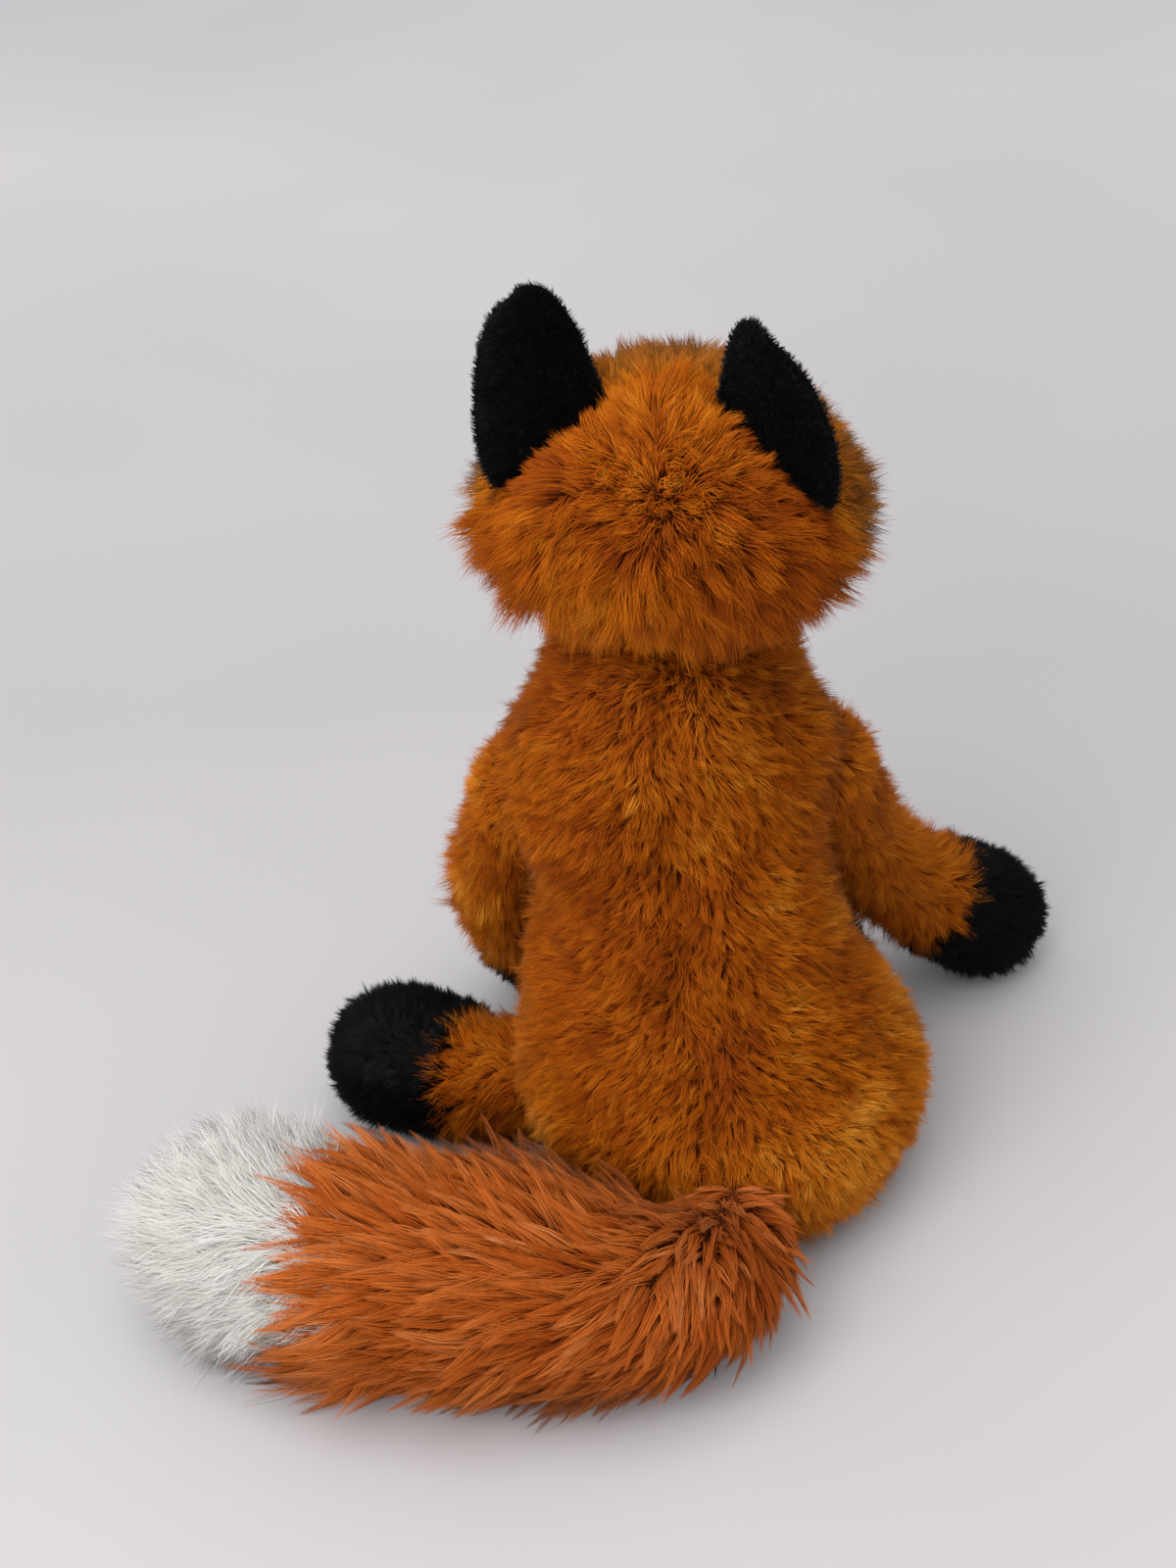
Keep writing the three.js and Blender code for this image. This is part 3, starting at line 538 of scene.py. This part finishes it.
def limb_rings(path, girth, shares, inset, stretch=1.0, steps=26, sides=32, root_cap=True, start=0.0, end=1.0):
    """Rings of the part of a limb from start to end, inset(way) under the solids' surface, with a cap at each end.

    girth times shares is the radius along the whole limb. stretch lengthens the cap at the limb's own end."""
    line = limb_line(path, 201)
    tangent = unit(np.gradient(line, axis=0))
    across = [unit(np.cross(tangent[0], [0, 0, 1.0]))]
    for t in tangent[1:]:
        across.append(unit(across[-1] - t * (across[-1] @ t)))
    across = np.array(across)
    over = np.cross(tangent, across)
    turn = np.linspace(0, 2 * math.pi, sides, endpoint=False)

    def ring_at(i, centre, radius):
        return centre + radius * (np.cos(turn)[:, None] * across[i] + np.sin(turn)[:, None] * over[i])

    def place(w):
        return int(round(w * (len(line) - 1))), girth * through(shares, w)[0] - inset(w)

    def cap(w, degrees, bulge):
        i, radius = place(w)
        for a in np.radians(degrees):
            yield ring_at(i, line[i] + tangent[i] * radius * math.sin(a) * bulge, radius * math.cos(a))

    rings = list(cap(start, np.linspace(-80, -15, 5), 1.0 if root_cap else HIDDEN_CAP))
    for w in np.linspace(start, end, steps):
        i, radius = place(w)
        rings.append(ring_at(i, line[i], radius))
    rings += cap(end, np.linspace(12, 80, 7), stretch if end == 1.0 else HIDDEN_CAP)
    return np.array(rings)


def along_field(path, length, lift):
    """Combed from the root of a limb to its end."""
    line = limb_line(path, 60)
    tangent = unit(np.gradient(line, axis=0))

    def field(p, n):
        i = nearest(line, p)
        return tangent[i], length(i / (len(line) - 1)) + 0 * p[:, 0], lift + 0 * p[:, 0]

    return field


SHOULDER_L, SHOULDER_R = np.array([49.5, -13, 128.0]), np.array([-24.5, -13, 128.0])
HIP_L, HIP_R = np.array([40.2, -18, 24.0]), np.array([-32.8, -18, 24.0])
ARM_SHARES, LEG_SHARES = [0.94, 0.87, 0.86, 0.9, 1], [1.0, 0.94, 0.9, 0.94, 1]
# Path, girth, its shares along the limb, and how far along the black end starts
LIMBS = {
    "arm_left": ([SHOULDER_L, SHOULDER_L + (11, -37, -62), SHOULDER_L + (0, -70, -108)], 17, ARM_SHARES, 0.84),
    "arm_right": ([SHOULDER_R, SHOULDER_R + (-19, -38, -62), SHOULDER_R + (-57, -65, -108)], 17, ARM_SHARES, 0.81),
    "leg_left": ([HIP_L, HIP_L + (27, 1, -1), HIP_L + (54, -13, -3)], 19, LEG_SHARES, 0.65),
    "leg_right": ([HIP_R, HIP_R + (4, -31, -1), HIP_R + (13, -58, -3)], 18, LEG_SHARES, 0.65),
}
for number, (body, (path, girth, shares, seam_share)) in enumerate(LIMBS.items()):
    kind, side = body.split("_")
    end = {"arm": "paw", "leg": "foot"}[kind]
    seed = 10 + number
    sleeve_rings = limb_rings(path, girth, shares, lambda w: PILE, end=seam_share)
    sleeve = facing_out(mesh_object(f"{kind}_cloth_{side}", *lofted(sleeve_rings)))
    grown(sleeve, lambda v: wobble(v, 18, seed) * 0.8)
    sleeve_skin = read(sleeve)
    stuffed(sleeve, body, GOLD_CLOTH, (f"{kind}_stuffing_{side}",))
    end_rings = limb_rings(
        path, girth, shares, lambda w: 1.0 + 4 * (w < seam_share), start=seam_share - 0.04, root_cap=False)
    tip = facing_out(mesh_object(f"{end}_cloth_{side}", *lofted(end_rings)))
    grown(tip, lambda v: wobble(v, 15, seed + 5) * 0.7)
    tip_skin = read(tip)
    stuffed(tip, body, BLACK_CLOTH)
    fur(f"{kind}_fur_{side}", body, GOLD, sleeve_skin,
        along_field(path, lambda w: 5.5 + 2.5 * smooth_step(0.1, 0.4, w), 1.05), 5.0, seed,
        (f"{kind}_cover_{side}",), keep=lambda p: inside_torso(p) < 6)
    fur(f"{end}_fur_{side}", body, BLACK, tip_skin,
        along_field(path, lambda w: 4.4, 1.1), 6.5, seed + 20,
        (f"{end}_{side}",), pull=0.4, width=0.3, patch=6, patch_turn=0.6)


def in_head(p):
    return np.sum((to_head(p) / HALF) ** 2, axis=1) < 0.9


def back_mottle_and_sheen(p):
    """Blotched in soft random patches, and paler over the right side and the hips, which is painted sheen."""
    off = p[:, 0] - spine(p[:, 2])
    blotches = 0.14 * wobble(p, 16, 61)
    # The paler right side and hips are painted sheen; the blotches are random tone
    return blotches + 0.2 * smooth_step(5, -35, off) + 0.2 * smooth_step(60, 25, p[:, 2]) - 0.13


fur("back_fur", "torso", GOLD, torso_skin, torso_field, 5.1, 1,
    ("back_panel_left", "back_panel_right"), patch=13, patch_turn=1.1, tint=back_mottle_and_sheen,
    keep=lambda p: (p[:, 1] > BELLY_SEAM - 2) & ~in_head(p))
fur("belly_fur", "torso", WHITE, torso_skin, torso_field, 3.4, 2, ("belly_panel",),
    keep=lambda p: (p[:, 1] <= BELLY_SEAM + 2) & (p[:, 2] > 3) & ~in_head(p))

# Tail
TAIL_PATH = [
    (4.3, 41.8, 27), (9.9, 66.1, 28.8), (31.1, 76, 30.1), (67, 68.4, 31),
    (94.9, 60.8, 31), (115, 52.4, 30.1), (130, 44.1, 29.1)]
TAIL_GIRTH, TAIL_SHARES = 29.5, [0.47, 0.72, 0.87, 0.98, 1, 0.97, 0.88]
TAIL_LINE = limb_line(TAIL_PATH, 80)
TAIL_TANGENT = unit(np.gradient(TAIL_LINE, axis=0))
PARTING = unit(np.array([-0.2, 0.5, 0.86]))  # the way that the parted top of the tail faces
TAIL_CROWN = np.array([4.0, 42.0, 66.0])  # the pile of the root falls away from here


def from_parting(n):
    """The way from the parting down the sides of the tail, at normals n."""
    return unit(n - rows(n, np.broadcast_to(PARTING, n.shape)) * PARTING)


def along_tail(p):
    """Index of the nearest point of the tail's line, and the share of the way to its end."""
    i = nearest(TAIL_LINE, p)
    return i, i / (len(TAIL_LINE) - 1)


def tail_field(p, n):
    """The pile parts along the top of the tail, falls round its root and runs out to its tip."""
    i, w = along_tail(p)
    fall = smooth_step(0.5, 0.1, w)[:, None]
    away = np.linalg.norm(p - TAIL_CROWN, axis=1)
    apart = smooth_step(4, 20, away)[:, None]
    comb = TAIL_TANGENT[i] * (1 - 0.8 * fall) + from_parting(n) * (0.4 - 0.2 * fall)
    comb = comb + unit(p - TAIL_CROWN) * fall * (1.0, 1.0, 1.6) * apart
    comb = comb + np.array([0.3, 0, -0.9]) * fall * smooth_step(50, 35, p[:, 1])[:, None]
    root = smooth_step(0.02, 0.12, w) * 0.45 + 0.55
    length = (12.5 + 3.5 * smooth_step(0.2, 0.5, w) + 6 * smooth_step(0.65, 0.78, w)) * root
    lift = 0.38 + 0.2 * smooth_step(0.2, 0.45, w) - 0.2 * smooth_step(0.6, 0.8, w) + 0.5 * np.exp(-((away / 12) ** 2))
    return comb, length, lift


def tip_field(p, n):
    """Runs on as on the tail, and is longer and looser towards the tip."""
    i, w = along_tail(p)
    past = smooth_step(0.78, 0.92, w)
    return TAIL_TANGENT[i] * (1.2 - 0.5 * past[:, None]) + from_parting(n) * 0.6, 7 + 8 * past, 0.3 + 0.5 * past


def tail_inset(w):
    """Deeper where the tail's pile is long, and deepest near its root, which is slimmer in the photo."""
    return 8.0 * min(1, 0.5 + 3 * w) + 2.5 * max(0, 1 - abs(w - 0.15) / 0.2)


tail_rings = limb_rings(TAIL_PATH, TAIL_GIRTH, TAIL_SHARES, tail_inset, end=0.8, steps=40, sides=44)
tail = facing_out(mesh_object("tail_cloth", *lofted(tail_rings)))
grown(tail, lambda v: wobble(v, 22, 9) * 1.2)
puffed(tail)
tail_skin = read(tail)
stuffed(tail, "tail", RUST_CLOTH, ("tail_stuffing",))
tip_rings = limb_rings(
    TAIL_PATH, TAIL_GIRTH, TAIL_SHARES, lambda w: 7.0, start=0.78, stretch=1.15, root_cap=False, steps=16, sides=44)
tail_tip = facing_out(mesh_object("tail_tip_cloth", *lofted(tip_rings)))
tail_tip_skin = read(tail_tip)
stuffed(tail_tip, "tail", WHITE_CLOTH)
fur("tail_fur", "tail", RUST, tail_skin, tail_field, 3.6, 31, ("tail_cover",), lock=2.1, pull=0.86,
    spread=0.14, width=0.3, segments=3, scruff=0.16, lock_turn=0.22, patch=16, patch_turn=0.25, tone=0.24)
fur("tail_tip_fur", "tail", WHITE, tail_tip_skin, tip_field, 3.8, 32, ("tail_tip",), lock=2.0, pull=0.35,
    spread=0.4, width=0.28, segments=3, scruff=0.4, lock_turn=0.45, patch=10, patch_turn=0.4, tone=0.06)


# Head


def head_rings(steps=40, sides=64):
    w = np.linspace(0, 1, steps)
    h = through([-1, -0.9, -0.66, -0.3, 0.1, 0.45, 0.76, 0.94, 1], w) * HALF[2]
    a = through([0.18, 0.5, 0.82, 1, 0.985, 0.86, 0.62, 0.34, 0.12], w) * HALF[0]
    b = through([0.18, 0.46, 0.76, 0.96, 1, 0.89, 0.64, 0.35, 0.12], w) * HALF[1]
    turn = np.linspace(0, 2 * math.pi, sides, endpoint=False)
    return np.stack([a[:, None] * np.cos(turn), b[:, None] * np.sin(turn), h[:, None] + 0 * turn], axis=-1)


MUZZLE_LENGTH, MUZZLE_WIDTH, MUZZLE_HEIGHT, MUZZLE_DROP = 60, 21, 16, 9
MUZZLE_REACHES, MUZZLE_GIRTHS = [0.2, 0.45, 0.65, 0.82, 0.94, 1], [1, 0.97, 0.86, 0.68, 0.48, 0.32]


def muzzle_rings(steps=24, sides=48):
    w = np.linspace(0, 1, steps)
    reach = through(MUZZLE_REACHES, w) * MUZZLE_LENGTH
    girth = through(MUZZLE_GIRTHS, w)
    turn = np.linspace(0, 2 * math.pi, sides, endpoint=False)
    return np.stack([girth[:, None] * MUZZLE_WIDTH * np.cos(turn), -reach[:, None] + 0 * turn,
                     girth[:, None] * MUZZLE_HEIGHT * np.sin(turn) - MUZZLE_DROP], axis=-1)


head = facing_out(mesh_object("head_cloth", *lofted(to_world(head_rings()))))
v, n, _ = read(head)
local = to_head(v)
front = smooth_step(5, -20, local[:, 1])
v = v - n * (PILE + 1.5 - 2.0 * front)[:, None] + n * (wobble(v, 24, 12) * 1.0)[:, None]
write(head, v)
puffed(head)
head_skin = read(head)
stuffed(head, "head", GOLD_CLOTH, ("head_stuffing",))
muzzle = facing_out(mesh_object("muzzle_cloth", *lofted(to_world(muzzle_rings()))))
grown(muzzle, lambda v: -2.2)
muzzle_skin = read(muzzle)
stuffed(muzzle, "head", WHITE_CLOTH)
CROWN = np.array([7.0, 29.0, 19.0])  # the long pile of the back of the head falls away from here
EYE = np.array([17, -34.0, 6.0])
NOSE = np.array([0, -45.0, -8.0])
# An ear's root line runs from beside the crown out and down
EAR_INNER, EAR_OUTER = HALF * (0.28, 0.22, 0.935), HALF * (0.84, 0.47, 0.27)
EAR_MIDDLE = (EAR_INNER + EAR_OUTER) / 2
EAR_ALONG = unit(EAR_OUTER - EAR_INNER)
EAR_RISE = unit(np.array([0, 0, 1.0]) - EAR_ALONG * EAR_ALONG[2])
EAR_FRONT = np.cross(EAR_ALONG, EAR_RISE)
EAR_HALF = np.linalg.norm(EAR_OUTER - EAR_INNER) / 2


def from_ears(q):
    """Distance of points on the head from the nearer ear's root line."""
    m = np.abs(q[:, :1]) * (1, 0, 0) + q * (0, 1, 1)
    t = np.clip(((m - EAR_INNER) @ EAR_ALONG) / (2 * EAR_HALF), 0, 1)[:, None]
    return np.linalg.norm(m - EAR_INNER - t * 2 * EAR_HALF * EAR_ALONG, axis=1)


def between_ears(q):
    """How much further forward the long pile reaches between the ears."""
    return 7 * smooth_step(26, 12, np.abs(q[:, 0]))


def head_field(p, n):
    """Long and loose behind, short in front, where it is combed away from the nose, and short round ears and eyes."""
    q = to_head(p)
    near = np.exp(-((q[:, 0] / 10) ** 2))
    side = np.tanh(q[:, 0] / 4)
    loose = np.exp(-((np.linalg.norm(q - CROWN, axis=1) / 16) ** 2))
    backward = unit(q - CROWN) + np.stack([side * near * 0.7, 0 * near, -0.5 + 0 * near], axis=1)
    front = smooth_step(16, 4, q[:, 1] + between_ears(q))[:, None]
    from_nose = unit(q - NOSE)
    swirl = np.stack([wobble(q, 9, 51), 0 * q[:, 0], wobble(q, 9, 52)], axis=1) * 1.3 * loose[:, None]
    comb = backward * (1 - front) * (1 - 0.6 * loose[:, None]) + swirl + from_nose * front
    comb = comb + np.array([0.5, 0, -0.5]) * loose[:, None]
    length = 11.0 - 4.8 * front[:, 0] - 2.5 * loose
    cheek = smooth_step(26, 40, np.abs(q[:, 0])) * smooth_step(12, -4, q[:, 2]) * smooth_step(-22, -4, q[:, 1])
    length = length + 3.0 * front[:, 0] * cheek
    length = length * (0.32 + 0.68 * smooth_step(2.5, 15, from_ears(q)))
    eyes = np.min([np.linalg.norm(q - EYE * (s, 1, 1), axis=1) for s in (-1, 1)], axis=0)
    length = length * (0.4 + 0.6 * smooth_step(6, 13, eyes))
    lift = 1.02 + 0.45 * loose + 0.15 * smooth_step(0, -14, q[:, 0])
    return comb @ TURN.T, length, lift


def in_muzzle(q):
    girth = np.interp(-q[:, 1] / MUZZLE_LENGTH, MUZZLE_REACHES, MUZZLE_GIRTHS)
    across, up = q[:, 0] / ((MUZZLE_WIDTH - 1) * girth), (q[:, 2] + MUZZLE_DROP) / ((MUZZLE_HEIGHT - 1) * girth)
    return (across**2 + up**2 < 1) & (q[:, 1] < -12)


def pale(q):
    """The white of the chin and cheeks."""
    return (q[:, 1] < -13) & (q[:, 2] < -6)


def back_of(q):
    """The part of the head with the long pile."""
    return q[:, 1] + between_ears(q) > 12


def head_painted_shade(p):
    """Painted shade: deeper over the right half of the back of the head, the side away from the light, and deeper at
    both sides.
    """
    off = to_head(p)[:, 0]
    return 0.04 - 0.12 * smooth_step(0, -14, off) - 0.32 * smooth_step(6, 30, np.abs(off))


fur("head_fur", "head", GOLD, head_skin, head_field, 5.4, 41, ("head_back_left", "head_back_right"),
    lock=2.1, pull=0.45, spread=0.35, width=0.24, segments=3, scruff=0.32, lock_turn=0.5, patch=11, patch_turn=0.7,
    tint=head_painted_shade, keep=lambda p: back_of(to_head(p)))
fur("face_fur", "head", FOREHEAD, head_skin, head_field, 4.6, 42, ("face_panel",),
    lock=1.6, pull=0.35, width=0.26,
    keep=lambda p: ~back_of(to_head(p)) & ~pale(to_head(p)) & ~in_muzzle(to_head(p)))
fur("chin_fur", "head", WHITE, head_skin, head_field, 4.4, 43, ("chin_panel",),
    lock=2.0, pull=0.4, width=0.32, keep=lambda p: pale(to_head(p)) & ~in_muzzle(to_head(p)))


def muzzle_field(p, n):
    """Combed back from the nose, up above its height and down below it."""
    q = to_head(p)
    flat = 0 * q[:, 0]
    comb = np.stack([flat, flat + 1, 0.25 * (q[:, 2] + MUZZLE_DROP) / MUZZLE_DROP], axis=1)
    return comb @ TURN.T, flat + 4.5, flat + 0.5


fur("muzzle_fur", "head", WHITE, muzzle_skin, muzzle_field, 4.2, 44, ("muzzle_cover",),
    lock=1.8, pull=0.4, width=0.32, keep=lambda p: to_head(p)[:, 1] < -24)


# Ears


def ear_rings(side, facing, rise, front, tall, shift, wide, full, steps=26, sides=18):
    """One layer of an ear, which is cupped across. facing is -1 for its back and 1 for its lining.

    tall is its height, shift how far its tip leans to the crown, wide the share of the root line that it takes, and
    full its bulge on the crown's side."""
    rings = []
    for w in np.linspace(0.1, 1, steps):
        swell = full * through([0, 0, 0, 0.07, 0.15, 0.2, 0.18, 0.1], w)[0] * EAR_HALF
        half = wide * EAR_HALF * through([0.85, 0.95, 1, 0.98, 0.87, 0.67, 0.45, 0.2], w)[0] + swell
        thick = 2.5 * through([0.3, 0.8, 1, 0.95, 0.9, 0.8, 0.65, 0.4], w)[0]
        cup = 3 * through([0, 0, 0, 0.5, 1, 1, 0.8, 0.4], w)[0]
        lean = shift * through([0, 0, 0, 0.18, 0.44, 0.7, 0.88, 1], w)[0] + swell
        height = tall * through([-0.12, -0.075, 0, 0.25, 0.5, 0.75, 0.91, 1], w)[0]
        turns = np.linspace(0, math.pi, sides)
        ring = []
        for a, face in [(a, facing) for a in turns] + [(a, 0) for a in turns[1:-1][::-1]]:
            depth = face * thick * math.sin(a) + cup * math.cos(a) ** 2 + facing * 0.15
            q = EAR_MIDDLE + rise * height + EAR_ALONG * (math.cos(a) * half - lean) + front * depth
            ring.append(q * (side, 1, 1))
        rings.append(ring)
    return to_world(np.array(rings))


# Side, its sign, degrees that the ear leans back, and tall, shift, wide and full
EARS = (("left", 1, -4, 30, 15, 0.94, 0.1), ("right", -1, 9, 20.5, 16, 1.02, 0.2))
for side_name, side, tilt, tall, shift, wide, full in EARS:
    lean = Matrix.Rotation(math.radians(-tilt), 3, Vector(EAR_ALONG))
    rise, front = np.array(lean @ Vector(EAR_RISE)), np.array(lean @ Vector(EAR_FRONT))
    comb_way = TURN @ (rise * (side, 1, 1))

    def ear_field(p, n):
        return np.tile(comb_way, (len(p), 1)), np.full(len(p), 1.5), np.full(len(p), 0.9)

    for layer, facing in (("back", -1), ("lining", 1)):
        rings = ear_rings(side, facing, rise, front, tall, shift, wide, full)
        ear = facing_out(mesh_object(f"ear_{layer}_cloth_{side_name}", *lofted(rings)))
        v, n, t = read(ear)
        stuffed(ear, f"ear_{side_name}", BLACK_CLOTH)
        outer = t[(n[t].mean(1) @ (TURN @ (front * (side, 1, 1)))) * facing > -0.2]
        fur(f"ear_{layer}_fur_{side_name}", f"ear_{side_name}", BLACK, (v, n, outer), ear_field, 8.0,
            50 + 2 * side + facing, (f"ear_{layer}_{side_name}",), lock=1.0, pull=0.3, patch=6)

# Eyes and nose: buttons of polished plastic
plastic, nodes, links, bsdf = new_material("button_gloss", 0.16, 0.3)
speck = nodes.new("ShaderNodeTexNoise")
speck.inputs["Scale"].default_value = 240
tone = ramp(nodes, [0.35, 0.7], [rgb(0x020202), rgb(0x080604)])
links.new(speck.outputs[0], tone.inputs[0])
links.new(tone.outputs[0], bsdf.inputs["Base Color"])


def button(node, body, radius, bulge, washer):
    """A domed button with its stem, where the CAD node of that name is."""
    points = np.array([c.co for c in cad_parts[node].data.vertices]) / MM
    far = np.linalg.norm(points - HEAD, axis=1)
    stem = points[far < far.min() + 1.2].mean(0)
    apex = points[np.argmax((points - stem) @ unit(points.mean(0) - stem))]
    out = unit(apex - stem)
    seat = apex - out * bulge
    across = unit(np.cross(out, [0, 0, 1.0]))
    over = np.cross(out, across)
    turn = np.linspace(0, 2 * math.pi, 40, endpoint=False)
    profile = [(1.6, -7.0), (1.6, -0.3), (radius * 0.96, -0.3)]  # the stem, and the underside of the dome
    profile += [(radius * math.cos(a), bulge * math.sin(a)) for a in np.radians(np.linspace(0, 86, 14))]
    rings = [[seat + out * h + r * (math.cos(t) * across + math.sin(t) * over) for t in turn] for r, h in profile]
    ob = facing_out(mesh_object(f"{node}_button", *lofted(np.array(rings))))
    ob.data.materials.append(plastic)
    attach(ob, body)
    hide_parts(node, washer)


button("eye_left", "head", 5.5, 3.6, "eye_washer_left")
button("eye_right", "head", 5.5, 3.6, "eye_washer_right")
button("nose", "head", 6.5, 4.2, "nose_washer")

# Neck pad: the edge of pile that closes the gap round the neck
turn = np.linspace(0, 2 * math.pi, 48, endpoint=False)
PAD_PROFILE = [  # degrees from straight up, and distance from the neck's middle
    (2, 37.4), (12, 37.4), (22, 37.4), (30, 37.2), (33, 36.2), (30, 35.2), (22, 34.9), (12, 34.9), (2, 34.9)]
pad = []
for degrees, r in PAD_PROFILE:
    a = math.radians(degrees)
    pad.append([NECK + r * np.array([math.sin(a) * math.cos(t), math.sin(a) * math.sin(t), math.cos(a)]) for t in turn])
neck_pad = facing_out(mesh_object("neck_pad", *lofted(np.array(pad))))
stuffed(neck_pad, "neck", GOLD_CLOTH, ("neck_stuffing",))

# Floor, lamps and camera
# The paper is painted a little darker in a band beyond the fox, as it is in the photo, and lighter nearer and further
# away: painted shadow of the fox and painted fall of light. It is also faintly mottled
floor_mat, nodes, links, bsdf = new_material("floor_paper", 0.9, 0.1)
where = nodes.new("ShaderNodeTexCoord")
mottle = nodes.new("ShaderNodeTexNoise")
mottle.inputs["Scale"].default_value = 3
links.new(where.outputs["Object"], mottle.inputs["Vector"])
tone = ramp(nodes, [0.3, 0.7], [rgb(0xF6F5F6), rgb(0xFFFDFE)])
links.new(mottle.outputs[0], tone.inputs[0])
parts = nodes.new("ShaderNodeSeparateXYZ")
links.new(where.outputs["Object"], parts.inputs[0])
painted_shade_band = nodes.new("ShaderNodeMapRange")
painted_shade_band.inputs[1].default_value, painted_shade_band.inputs[2].default_value = 0.2, -1.2  # y of the near and the far end, metres
links.new(parts.outputs[1], painted_shade_band.inputs[0])
# Painted shadow and painted fall of light along the floor's depth
depth = ramp(nodes, [0, 0.32, 0.75], [rgb(0xD2D0D1), rgb(0xC5C3C4), rgb(0xDCDADB)])
links.new(painted_shade_band.outputs[0], depth.inputs[0])
multiplied(nodes, links, depth.outputs[0], tone.outputs[0], bsdf.inputs["Base Color"])
corners = [(-6000, -9000, 0), (6000, -9000, 0), (6000, 3000, 0), (-6000, 3000, 0)]
floor = mesh_object("floor", corners, [(0, 1, 2, 3)])
floor.data.materials.append(floor_mat)


def lamp(name, where, aim, size, power, colour=(1, 1, 1)):
    data = bpy.data.lights.new(name, "AREA")
    data.shape, data.size, data.energy, data.color = "DISK", size, power, colour
    ob = bpy.data.objects.new(name, data)
    bpy.context.scene.collection.objects.link(ob)
    ob.location = where
    ob.rotation_mode = "QUATERNION"
    ob.rotation_quaternion = (Vector(aim) - Vector(where)).to_track_quat("-Z", "Y")


lamp("window", (1.0, 1.3, 1.35), (0, 0, 0.1), 1.5, 21.5, (1, 0.99, 0.97))
lamp("overhead", (0.2, 0.5, 2.0), (0, 0, 0.1), 1.8, 18.5)
world = bpy.data.worlds.new("room")
bpy.context.scene.world = world
world.use_nodes = True
world.node_tree.nodes["Background"].inputs[0].default_value = (0.96, 0.97, 1, 1)
world.node_tree.nodes["Background"].inputs[1].default_value = 0.6

camera = bpy.data.cameras.new("camera")
camera.lens, camera.sensor_width, camera.sensor_fit = 54, 36, "AUTO"
camera.clip_start, camera.clip_end = 0.01, 100
view = bpy.data.objects.new("camera", camera)
bpy.context.scene.collection.objects.link(view)
spot, aim = Vector((0.03484, 0.48323, 0.47445)), Vector((0.03484, -0.04808, 0.1))
roll = math.radians(-4.375)
look = (aim - spot).normalized()
right = look.cross(Vector((0, 0, 1))).normalized()
over = right.cross(look)
right, over = right * math.cos(roll) + over * math.sin(roll), over * math.cos(roll) - right * math.sin(roll)
view.matrix_world = Matrix.Translation(spot) @ Matrix((right, over, -look)).transposed().to_4x4()
bpy.context.scene.camera = view
bpy.context.scene.view_settings.view_transform = "Standard"
